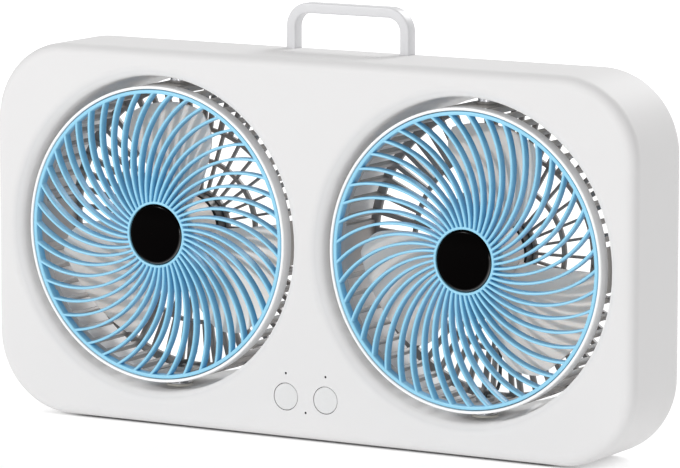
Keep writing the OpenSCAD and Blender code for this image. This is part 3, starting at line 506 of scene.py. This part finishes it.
# Buttons
# Two round white caps with softly rounded rims, each on a stem that presses a switch.
def eased(corners, closed=True, steps=4):
    """An outline from corners (x, y, radius), each rounded to its radius."""
    line = []
    for i, (x, y, radius) in enumerate(corners):
        here = Vector((x, y))
        if radius == 0 or (not closed and i in (0, len(corners) - 1)):
            line.append((x, y))
            continue
        back = (Vector(corners[i - 1][:2]) - here).normalized()
        onward = (Vector(corners[(i + 1) % len(corners)][:2]) - here).normalized()
        half = back.angle(onward) / 2
        middle = here + (back + onward).normalized() * radius / math.sin(half)
        first = here + back * radius / math.tan(half) - middle
        turn = first.angle_signed(here + onward * radius / math.tan(half) - middle)
        for k in range(steps + 1):
            a = -turn * k / steps
            line.append((middle.x + first.x * math.cos(a) - first.y * math.sin(a),
                         middle.y + first.x * math.sin(a) + first.y * math.cos(a)))
    return line


def turned(name, outline, closed=False, steps=96):
    """A shape turned about the Y axis from points (radius, y)."""
    work = bmesh.new()
    rings = []
    for r, y in outline:
        count = 1 if r < 1e-6 else steps
        turns = [math.tau * k / count for k in range(count)]
        rings.append([work.verts.new(Vector((r * math.cos(a), y, r * math.sin(a))) * MM)
                      for a in turns])
    for a, b in zip(rings, rings[1:] + (rings[:1] if closed else [])):
        for k in range(steps):
            corners = (a[k % len(a)], a[(k + 1) % len(a)], b[(k + 1) % len(b)], b[k % len(b)])
            corners = list(dict.fromkeys(corners))
            if len(corners) > 2:
                work.faces.new(corners)
    mesh = bpy.data.meshes.new(name)
    work.to_mesh(mesh)
    work.free()
    return tidied(mesh)


def moved(mesh, at):
    mesh.transform(Matrix.Translation(Vector(at) * MM))
    return mesh


button_white = finish("button_white", paint(225, 225, 225), 0.3, drift=0.01, grain=0.03)
plunger_black = finish("plunger_black", paint(40, 40, 42), 0.45, drift=0.06, grain=0.1)
# The middle of the pair, half the distance between the two, and their height; then the cap's
# radii and its places along Y.
BUTTONS_X, BUTTONS_HALF, BUTTONS_Z = 1, 11.95, 23.2
BUTTON_R, FLANGE_R, STEM_R = 7, 8.2, 2.6
PRESS_FRONT, FLANGE, FLANGE_BACK, STEM_END = -27, -24.6, -23.6, -22.6
button_outline = eased([
    (0, PRESS_FRONT, 0), (BUTTON_R, PRESS_FRONT, 0.4), (BUTTON_R, FLANGE, 0),
    (FLANGE_R, FLANGE, 0.2), (FLANGE_R, FLANGE_BACK, 0.2), (STEM_R, FLANGE_BACK, 0),
    (STEM_R, STEM_END, 0.2), (0, STEM_END, 0)], closed=False)
SIDES = {"left": -1, "right": 1}
for side, way in SIDES.items():
    cap = moved(turned(side + "_push_cap", button_outline),
                (BUTTONS_X + way * BUTTONS_HALF, 0, BUTTONS_Z))
    fit(side + "_push_cap", cap, side + "_push_button", "button_white", side + "_button",
        look=button_white)
dress(["left_switch_plunger", "right_switch_plunger"], plunger_black)

# Indicators
# Three smoky clear light guides behind the pinholes, each in front of a small amber indicator.
smoky_clear = finish("smoky_clear", paint(14, 14, 15), 0.15, drift=0.03, grain=0.02)
phosphor = finish("phosphor", paint(238, 222, 150), 0.4, drift=0.05, grain=0.05)
dress(["indicator_lenses"], smoky_clear)
dress(["indicator_leds"], phosphor)


# Circuit boards
# Green solder-masked boards with copper tracks under the mask, with small tinned switches on one
# and the tinned shell of the charging inlet on the other.
def board_green_look():
    made, net = material("board_green")
    where = net.add("ShaderNodeTexCoord", out="Object")
    cells = net.add("ShaderNodeTexBrick", {"offset": 0.5}, {
        "Vector": where, "Color1": (0, 0, 0), "Color2": (0.2, 0.2, 0.2), "Mortar": (1, 1, 1),
        "Scale": 160, "Mortar Size": 0.06, "Brick Width": 0.9, "Row Height": 0.3}, "Color")
    slow = net.noise(where, 60, 2.0)
    mask = net.mix(slow, paint(22, 92, 52), paint(30, 108, 62))
    tone = net.mix(cells, mask, paint(60, 140, 84))
    skin(net, tone, 0.3 + slow * 0.1, cells, 0.3)
    return made


board_green = board_green_look()
tinned = finish("tinned", paint(186, 187, 190), 0.3, drift=0.05, grain=0.08, Metallic=1.0)
dress(["control_board", "charge_board"], board_green)
dress(["tact_switches", "charge_port"], tinned)
dress(["board_screws"], screw_zinc)

# Battery
# Two lithium cells in blue shrink sleeve, side by side in a black moulded holder.
cell_sleeve = finish("cell_sleeve", paint(58, 112, 176), 0.28, drift=0.08, drift_scale=80,
                     grain=0.08)
holder_black = finish("holder_black", paint(44, 44, 46), 0.55, drift=0.06, grain=0.15)
dress(["battery_cells"], cell_sleeve)
dress(["battery_holder"], holder_black)


# Leads
# Thin stranded leads in soft PVC: red from the battery, black from the inlet and to the motors.
# Each motor's lead leaves its head through the hollow lower pivot and only twists as it turns.
pvc_red = finish("pvc_red", paint(190, 44, 40), 0.5, drift=0.08, grain=0.1)
pvc_black = finish("pvc_black", paint(48, 48, 50), 0.5, drift=0.08, grain=0.1)
dress(["battery_lead"], pvc_red)
dress(["charge_lead", "left_pivot_lead", "right_pivot_lead", "left_motor_lead", "right_motor_lead"],
      pvc_black)

# Swivel pivots
# Turned steel pins in waxy acetal bushes, with a thin steel washer between head and casing.
bush_acetal = finish("bush_acetal", paint(232, 229, 220), 0.42, drift=0.04, grain=0.06)
turned_steel = finish("turned_steel", paint(196, 197, 200), 0.25, drift=0.05, grain_scale=2400,
                      grain=0.1, Metallic=1.0)
dress(["pivot_bushes"], bush_acetal)
dress(["pivot_washers", "left_upper_pivot_pin", "left_lower_pivot_pin", "right_upper_pivot_pin",
       "right_lower_pivot_pin"], turned_steel)

# White bands
# The thin white ring round the front of each head. Its lip is rounded and catches the light, and
# its colour is made brighter too, a painted highlight.
FRONT, BAND_BACK, HEAD_R, BAND_IN = -24.5, -16.5, 79, 77.4
LIP_HIGHLIGHT_FROM, LIP_HIGHLIGHT_TO = -24.2, -23.6


def band_white_look():
    """White; the lip at the front is painted brighter than the side, a painted highlight."""
    made, net = material("band_white")
    where = net.add("ShaderNodeTexCoord", out="Object")
    slow = net.noise(where, 35, 3.0)
    side = net.mix(slow, paint(232, 232, 233), paint(237, 237, 238))
    # Painted highlight: the front lip is made near white.
    lip = net.ramp(net.along(where, "Y"), LIP_HIGHLIGHT_FROM * MM, LIP_HIGHLIGHT_TO * MM)
    skin(net, net.mix(lip, side, paint(254, 254, 254)), 0.28 + slow * 0.05,
         net.noise(where, 1800, 2.0), 0.04)
    return made


band_white = band_white_look()
band_outline = eased([(BAND_IN, FRONT, 0.7), (HEAD_R, FRONT, 0.7), (HEAD_R, BAND_BACK, 0.2),
                      (BAND_IN, BAND_BACK, 0.2)])
for side, way in SIDES.items():
    band = turned(side + "_white_band", band_outline, closed=True, steps=180)
    fit(side + "_white_band", moved(band, (way * HEAD_AT[0], 0, HEAD_AT[2])), side + "_head",
        "band_white", side + "_head_ring", look=band_white)

# Front grilles
# One light blue moulding for each head: forty-five thin vanes that curve out from the hub's ring
# to the outer ring. The right one mirrors the left one. Hooks at the back hold it in the band.
# The grille's front and depth, and the depth down to which its front is painted paler, a painted
# highlight.
GRILLE_FRONT, GRILLE_D, PAINTED_HIGHLIGHT_TO = -24.2, 5.5, -20.5
# Each vane is part of a circle: its radius, how far off the head's middle its centre is, and the
# distances from the head's middle that it runs between. Turns are in degrees.
ARC_R, ARC_AT, VANE_FROM, VANE_TO = 57.8, 57.27, 17.1, 75.9
FIRST_VANE, HOOKS, FIRST_HOOK = 1.81, 6, 30


def arc_angle(r):
    """The angle about a vane's own centre at which it is r from the head's middle."""
    return math.acos((r * r - ARC_AT * ARC_AT - ARC_R * ARC_R) / (2 * ARC_AT * ARC_R))


def bar(net, path, wide, deep, ease):
    """Sweeps a rounded bar along a path."""
    outline = net.add("GeometryNodeCurvePrimitiveQuadrilateral", {"mode": "RECTANGLE"},
                      {"Width": wide, "Height": deep})
    outline = net.add("GeometryNodeFilletCurve", {"mode": "POLY"},
                      {"Curve": outline, "Count": 3, "Radius": ease, "Limit Radius": True})
    return net.add("GeometryNodeCurveToMesh", None,
                   {"Curve": path, "Profile Curve": outline, "Fill Caps": True})


def flat_path(net, path):
    """Keeps a flat path's bars upright."""
    return net.add("GeometryNodeSetCurveNormal", {"mode": "Z_UP"}, {"Curve": path})


def hoop(net, radius, wide, deep, ease, height=0.0):
    """A ring with a rounded section, its middle at this height."""
    path = net.add("GeometryNodeCurvePrimitiveCircle", None,
                   {"Resolution": 160, "Radius": radius}, "Curve")
    return bar(net, flat_path(net, shifted(net, path, Z=height)), wide, deep, ease)


def arc(net, radius, start, sweep, points):
    return net.add("GeometryNodeCurveArc", {"mode": "RADIUS"}, {
        "Resolution": points, "Radius": radius, "Start Angle": start, "Sweep Angle": sweep},
        "Curve")


def round_about(net, shape, count, angles):
    """Copies a shape about the middle, at the angles that an expression on the index gives."""
    points = net.add("GeometryNodePoints", None, {"Count": count})
    spin = net.add("FunctionNodeEulerToRotation", None, {"Euler": net.add(
        "ShaderNodeCombineXYZ", None, {"Z": angles})})
    return net.add("GeometryNodeInstanceOnPoints", None,
                   {"Points": points, "Instance": shape, "Rotation": spin})


def grille_plan(net, start, size):
    index = net.add("GeometryNodeInputIndex")
    sweep = arc_angle(VANE_TO) - arc_angle(VANE_FROM)
    path = arc(net, size["Arc radius"], arc_angle(VANE_FROM), sweep, 28)
    path = flat_path(net, shifted(net, path, X=size["Arc centre"]))
    vane = bar(net, path, size["Vane width"], size["Depth"] - 0.1 * MM, size["Ease"])
    vanes = round_about(net, vane, size["Vanes"],
                        math.radians(FIRST_VANE) + index * math.tau / size["Vanes"])
    rim = hoop(net, size["Rim radius"], size["Rim width"], size["Depth"], size["Ease"])
    hub = hoop(net, size["Hub radius"], size["Hub width"], size["Depth"], size["Ease"] * 0.7)
    floor = shifted(net, rod(net, 64, size["Hub radius"], size["Floor"]),
                    Z=size["Depth"] * -0.5 + size["Floor"] * 0.5)
    hook = block(net, X=size["Hook"], Y=size["Hook"] * 3.6, Z=size["Hook"])
    hook = shifted(net, hook, X=size["Rim radius"] - 0.3 * MM, Z=size["Depth"] * -0.5)
    hooks = round_about(net, hook, HOOKS, math.radians(FIRST_HOOK) + index * math.tau / HOOKS)
    return net.add("GeometryNodeJoinGeometry", None, {"Geometry": [vanes, rim, hub, floor, hooks]})


def grille_blue_look():
    """Light blue, paler on the front than down the sides of the vanes: a painted highlight on the
    front and painted shade down the sides.
    """
    made, net = material("grille_blue")
    where = net.add("ShaderNodeTexCoord", out="Object")
    slow = net.noise(where, 45, 3.0)
    # Painted highlight on the vanes' front and painted shade down their sides.
    front = net.ramp(net.along(where, "Y"), GRILLE_FRONT * MM, PAINTED_HIGHLIGHT_TO * MM)
    deep = net.mix(slow, paint(80, 172, 216), paint(88, 177, 220))
    pale = net.mix(slow, paint(150, 214, 242), paint(156, 217, 244))
    skin(net, net.mix(front, deep, pale), 0.3 + slow * 0.08, net.noise(where, 2200, 2.0), 0.05)
    return made


grille_blue = grille_blue_look()
grille_sizes = {"Arc radius": ARC_R, "Arc centre": ARC_AT, "Vane width": 1.4, "Vanes": 45,
                "Depth": GRILLE_D, "Rim radius": 76.0, "Rim width": 2.0, "Hub radius": 17.0,
                "Hub width": 1.4, "Ease": 0.6, "Floor": 1.5, "Hook": 1.4}
STAND_UP = Matrix.Rotation(math.pi / 2, 4, "X")
for side, way in SIDES.items():
    mesh = form(side + "_spiral_grille", grille_sizes, grille_plan, grille_blue)
    middle = Vector((way * HEAD_AT[0], GRILLE_FRONT + GRILLE_D / 2, HEAD_AT[2])) * MM
    mesh.transform(Matrix.Translation(middle) @ Matrix.Diagonal((-way, 1, 1, 1)) @ STAND_UP)
    fit(side + "_spiral_grille", tidied(mesh), side + "_head", "grille_blue",
        side + "_front_grille")


# Hub caps
# A black polished cap pressed into the grille's hub: a shallow dome with a sloped rim.
CAP_TOP, CAP_R, CAP_FLAT = -25.0, 16.2, 15.1
RIM_FROM, RIM_TO = -24.2, -24.0
# How far to the side and how far down the shine on the rim is looked for, and where it begins and
# is full, as shares of the cap's radius. The shine is a painted reflection placed on the rim.
SHINE_SIDE, SHINE_DOWN, SHINE_FROM, SHINE_FULL = 0.5, 0.87, 0.2, 0.8


def cap_black_look():
    """Black all over; a clear coat only on the low right of the sloped rim, as in the photograph,
    makes a painted reflection of the white table there."""
    made, net = material("cap_black")
    where = net.add("ShaderNodeTexCoord", out="Object")
    across = net.along(where, "X")
    beside = across - across.math("SIGN", across) * (HEAD_AT[0] * MM)
    below = HEAD_AT[2] * MM - net.along(where, "Z")
    # Painted reflection: a clear coat only where the rim is low and at the right.
    painted_reflection_mask = net.ramp(beside * SHINE_SIDE + below * SHINE_DOWN, SHINE_FROM * CAP_R * MM,
                         SHINE_FULL * CAP_R * MM, 0.0, 1.0)
    rim = painted_reflection_mask * net.ramp(net.along(where, "Y"), RIM_FROM * MM, RIM_TO * MM, 0.0, 1.0)
    slow = net.noise(where, 50, 2.0)
    skin(net, net.mix(slow, paint(1, 0, 0), paint(2, 1, 1)), 0.14 + slow * 0.06,
         net.noise(where, 900, 3.0), 0.02, 0.02,
         {"Specular IOR Level": 0.02, "Coat Weight": rim, "Coat Roughness": 0.12, "Coat IOR": 2.0})
    return made


cap_black = cap_black_look()
DOME_STEPS, DOME_R = 16, (CAP_R ** 2 + 1) / 2
dome_line = []
for k in range(DOME_STEPS + 1):
    r = CAP_FLAT * k / DOME_STEPS
    dome_line.append((r, CAP_TOP + DOME_R - math.sqrt(DOME_R ** 2 - r ** 2)))
cap_outline = dome_line + [(15.6, -23.8), (15.95, -23.4), (CAP_R, -22.9), (CAP_R, -20.2),
                           (0, -20.2)]
for side, way in SIDES.items():
    cap = moved(turned(side + "_black_cap", cap_outline), (way * HEAD_AT[0], 0, HEAD_AT[2]))
    fit(side + "_black_cap", cap, side + "_head", "cap_black", side + "_hub_cap", look=cap_black)


# Rear guards
# A grey moulded basket behind each band: ribs that run back along the side and bend in over a
# rounded corner to a lattice of two rings, with a plate in the middle that carries the motor.

# In each quarter the ribs begin FIRST_RIB degrees from the level and stand RIB_PITCH apart; the
# pairs of ribs beside the upright and the level stand PAIR_APART apart. Each panel is given by
# half its width and its turn, in degrees.
RIBS_EACH, FIRST_RIB, RIB_PITCH, PAIR_APART = 11, 11.6, 7.006475, 8.8
PANELS = ((8.5, 0), (8.5, 180), (6, 90), (6, 270))


def guard_plan(net, start, size):
    """The front faces up here, so distances behind the swivel axis are negative heights."""
    index = net.add("GeometryNodeInputIndex")
    centre_r = size["Outer radius"] - size["Thickness"] * 0.5
    back = size["Thickness"] * 0.5 - size["Back"]
    line = net.add("GeometryNodeCurvePrimitiveLine", None, {"End": (0.1, 0, 0)})
    line = net.add("GeometryNodeResampleCurve", None, {"Curve": line, "Count": 3})
    bent = net.add("ShaderNodeCombineXYZ", None, {
        "X": centre_r + (index > 1.5) * (size["Ring 2"] - centre_r),
        "Z": size["Band back"] + (index > 0.5) * (back - size["Band back"])})
    line = net.add("GeometryNodeSetPosition", None, {"Geometry": line, "Position": bent})
    line = net.add("GeometryNodeFilletCurve", {"mode": "POLY"},
                   {"Curve": line, "Count": 6, "Radius": size["Corner"], "Limit Radius": True})
    rib = bar(net, line, size["Thickness"], size["Rib width"], size["Ease"])
    quarter = (index / RIBS_EACH).floor()
    odd = quarter - (quarter * 0.5).floor() * 2
    step = math.radians(FIRST_RIB) + (index - quarter * RIBS_EACH) * math.radians(RIB_PITCH)
    angle = (quarter + odd) * (math.pi / 2) + step * (1 - odd * 2)
    ribs = round_about(net, rib, 4 * RIBS_EACH, angle)

    def spoke(first, last, wide):
        """A straight rib of the lattice, from one distance from the middle to another."""
        ends = [net.add("ShaderNodeCombineXYZ", None, {"X": x, "Z": back}) for x in (first, last)]
        line = net.add("GeometryNodeCurvePrimitiveLine", None, {"Start": ends[0], "End": ends[1]})
        return bar(net, line, wide, size["Thickness"], size["Ease"])

    pair = (index * 0.5).floor()
    pairs = round_about(net, spoke(size["Ring 2"], centre_r, size["Rib width"] * 0.9), 8,
                        pair * (math.pi / 2) + (index - pair * 2 - 0.5) * math.radians(PAIR_APART))
    thin = round_about(net, spoke(size["Plate"] - 1 * MM, size["Ring 2"], size["Thin width"]),
                       size["Thin ribs"], index * math.tau / size["Thin ribs"])
    rings = [hoop(net, size[r], size["Ring width"], size["Thickness"], size["Ease"], back)
             for r in ("Ring 1", "Ring 2")]
    collar = hoop(net, size["Collar radius"], size["Collar wall"], size["Collar depth"],
                  size["Collar ease"], size["Collar height"])
    panels = []
    for half, turn in PANELS:
        path = arc(net, centre_r, math.radians(turn - half), math.radians(2 * half), 12)
        path = flat_path(net, shifted(net, path, Z=(size["Band back"] + back) * 0.5))
        panels.append(bar(net, path, size["Thickness"], size["Band back"] - back, size["Ease"]))
    boss = rod(net, 40, size["Boss radius"], size["Boss depth"])
    boss = net.add("GeometryNodeTransform", None,
                   {"Geometry": boss, "Rotation": (math.pi / 2, 0, 0)})
    bosses = [shifted(net, boss, Y=size["Boss place"] * way) for way in (-1, 1)]
    return net.add("GeometryNodeJoinGeometry", None, {
        "Geometry": [ribs, pairs, thin, *rings, collar, *panels, *bosses]})


PALE_UNTIL, DARK_FROM = 12, 18


def guard_grey_look():
    """Satin grey, paler along the side than at the back."""
    made, net = material("guard_grey")
    where = net.add("ShaderNodeTexCoord", out="Object")
    slow = net.noise(where, 60, 3.0)
    behind = net.ramp(net.along(where, "Y"), PALE_UNTIL * MM, DARK_FROM * MM, 0.0, 1.0)
    tone = net.mix(behind, net.mix(slow, paint(186, 182, 179), paint(193, 189, 186)),
                   net.mix(slow, paint(116, 114, 113), paint(124, 122, 121)))
    skin(net, tone, 0.4 + slow * 0.06, net.noise(where, 1500, 2.0), 0.12)
    return made


guard_grey = guard_grey_look()
guard_sizes = {"Outer radius": 79.0, "Thickness": 3.0, "Back": 20.5, "Band back": 16.5,
               "Corner": 4.0, "Rib width": 2.5, "Ring 1": 35.8, "Ring 2": 52.6, "Ring width": 2.2,
               "Thin ribs": 30, "Thin width": 1.4, "Plate": 20.0, "Ease": 0.5,
               "Collar radius": 76.68, "Collar wall": 1.4, "Collar depth": 4.5, "Collar ease": 0.2,
               "Collar height": 15.75, "Boss radius": 5.0, "Boss depth": 6.0, "Boss place": 77.0}
PLATE_R, RIM_IN, FLOOR, BACK = 20, 74.5, 17.5, 20.5
plate_outline = eased([
    (0, FLOOR, 0), (PLATE_R, FLOOR, 0.3), (PLATE_R, BACK, 0.5), (17, BACK, 0.2), (16.6, 20.1, 0.2),
    (7, 20.1, 0.2), (6.6, BACK, 0.2), (0, BACK, 0)], closed=False)
rim_outline = eased([(RIM_IN, FLOOR, 0.3), (HEAD_R, FLOOR, 0.3), (HEAD_R, BACK, 2.6),
                     (RIM_IN, BACK, 0.4)])
for side, way in SIDES.items():
    mesh = form(side + "_guard_basket", guard_sizes, guard_plan, guard_grey)
    mesh.transform(STAND_UP)
    basket = bmesh.new()
    basket.from_mesh(mesh)
    basket.from_mesh(turned("plate", plate_outline))
    basket.from_mesh(turned("rim", rim_outline, closed=True, steps=180))
    basket.to_mesh(mesh)
    basket.free()
    mesh = moved(tidied(mesh), (way * HEAD_AT[0], 0, HEAD_AT[2]))
    fit(side + "_guard_basket", mesh, side + "_head", "guard_grey", side + "_guard_side",
        side + "_guard_back", look=guard_grey)

# Rotors
# Pale moulded fans with three broad blades on a deep hub. The blades are pitched, bulge towards
# the back, are thin towards their edges and sweep round towards their tips.
ROTOR_FRONT, ROTOR_BACK, ROTOR_R, BLADE_R = -14.5, 8.5, 18, 68.5
BLADE_T, BLADE_D, SWEEP, HALF_IN, HALF_OUT = 1.8, 19, 11, 38, 31
BULGE, BLADE_MIDDLE, EDGE_THIN, ROOT_PITCH = 1.6, -3.5, 0.45, 0.8
TIP_FROM, TIP_NARROWS = 0.75, 0.25
REST_TURN = {"left": 85, "right": 74}


def blade_point(t, s, face):
    """A point of a blade: t runs from hub to tip, s from one edge to the other, face is -1 or 1."""
    r = ROTOR_R - 1 + (BLADE_R - ROTOR_R + 1) * t
    taper = 1 - TIP_NARROWS * (max(0, t - TIP_FROM) / (1 - TIP_FROM)) ** 2
    half = (HALF_IN + (HALF_OUT - HALF_IN) * t) * taper
    a = math.radians(SWEEP * t + half * s)
    middling = 1 - s * s
    thin = BLADE_T * (EDGE_THIN + (1 - EDGE_THIN) * middling) / 2
    lift = s * (BLADE_D - BLADE_T) / 2 * (ROOT_PITCH + (1 - ROOT_PITCH) * t) * taper
    y = BLADE_MIDDLE + lift + middling * BULGE + face * thin
    return Vector((r * math.cos(a), y, r * math.sin(a))) * MM


def blades(work, rest_turn, count=3, rows=30, cols=28):
    for n in range(count):
        spin = Matrix.Rotation(math.radians(rest_turn) + math.tau * n / count, 3, (0, -1, 0))
        grid = {}
        for face in (-1, 1):
            for i in range(rows + 1):
                for j in range(cols + 1):
                    point = blade_point(i / rows, 2 * j / cols - 1, face)
                    grid[face, i, j] = work.verts.new(spin @ point)
        for i in range(rows):
            for j in range(cols):
                for face in (-1, 1):
                    around = ((i, j), (i, j + 1), (i + 1, j + 1), (i + 1, j))
                    work.faces.new([grid[(face, *at)] for at in around])
        rim = [(0, j) for j in range(cols)] + [(i, cols) for i in range(rows)]
        rim += [(rows, j) for j in range(cols, 0, -1)] + [(i, 0) for i in range(rows, 0, -1)]
        for a, b in zip(rim, rim[1:] + rim[:1]):
            work.faces.new([grid[(-1, *a)], grid[(1, *a)], grid[(1, *b)], grid[(-1, *b)]])


translucent = {"Subsurface Weight": 0.6, "Subsurface Scale": 2 * MM,
               "Subsurface Radius": (1.0, 0.92, 0.86)}
blade_grey = finish("blade_grey", paint(253, 235, 225), 0.36, drift=0.02, drift_scale=30,
                    grain=0.06, **translucent)
HUB_IN, HUB_FLOOR, BOSS_R, BOSS_END = 16.2, ROTOR_FRONT + 1.8, 4, -7.9
hub_outline = eased([
    (0, ROTOR_FRONT, 0), (ROTOR_R, ROTOR_FRONT, 1.0), (ROTOR_R, ROTOR_BACK, 0.3),
    (HUB_IN, ROTOR_BACK, 0.3), (HUB_IN, HUB_FLOOR, 0.6), (BOSS_R, HUB_FLOOR, 0.4),
    (BOSS_R, BOSS_END, 0.2), (0, BOSS_END, 0)], closed=False)
for side, way in SIDES.items():
    rotor = bmesh.new()
    blades(rotor, REST_TURN[side])
    rotor.from_mesh(turned("hub", hub_outline))
    mesh = bpy.data.meshes.new(side + "_rotor_blades")
    rotor.to_mesh(mesh)
    rotor.free()
    mesh = moved(tidied(mesh, 40), (way * HEAD_AT[0], 0, HEAD_AT[2]))
    fit(side + "_rotor_blades", mesh, side + "_rotor", "blade_grey", side + "_fan_blade",
        look=blade_grey)

# Motors
# A small brushed motor: a drawn steel can inside the rotor's hub, a black rear housing screwed to
# the guard's plate, two ferrite magnets, an armature with copper windings, and bronze bushes.
motor_black = finish("motor_black", paint(28, 28, 30), 0.4, drift=0.08, grain=0.15)
ferrite = finish("ferrite", paint(62, 62, 66), 0.7, drift=0.1, grain=0.3)
bronze = finish("bronze", paint(196, 160, 98), 0.35, drift=0.08, grain=0.15, Metallic=1.0)


def winding_look():
    """Enamelled copper: fine bright lines side by side, round the armature's length."""
    made, net = material("winding_copper")
    where = net.add("ShaderNodeTexCoord", out="Object")
    wires = net.add("ShaderNodeTexWave", {"bands_direction": "Y"},
                    {"Vector": where, "Scale": 500, "Distortion": 0.6, "Detail": 1.0}, "Fac")
    tone = net.mix(wires, paint(120, 62, 34), paint(204, 122, 72))
    skin(net, tone, 0.3 + wires * 0.1, wires, 0.4, 0.1, {"Metallic": 0.85})
    return made


winding_copper = winding_look()
motor_screw_sizes = {"Shank radius": 1.15, "Length": 7.0, "Head radius": 2.4, "Head height": 1.4}
MOTOR_SCREWS_R, MOTOR_SCREWS_TURN = 11, (90, 210, 330)
for side, way in SIDES.items():
    dress([side + "_motor_can", side + "_motor_shaft"], turned_steel)
    dress([side + "_motor_end_cap"], motor_black)
    dress([side + "_motor_magnets"], ferrite)
    dress([side + "_motor_bushes", side + "_motor_brushes"], bronze)
    dress([side + "_armature"], winding_copper)
    seats = []
    for a in map(math.radians, MOTOR_SCREWS_TURN):
        seats.append((way * HEAD_AT[0] + MOTOR_SCREWS_R * math.cos(a), BACK,
                      HEAD_AT[2] + MOTOR_SCREWS_R * math.sin(a)))
    mesh = form(side + "_motor_screw_set", motor_screw_sizes, screw_plan, screw_zinc, seats)
    fit(side + "_motor_screw_set", tidied(mesh), side + "_head", "screw_steel",
        side + "_motor_screws")
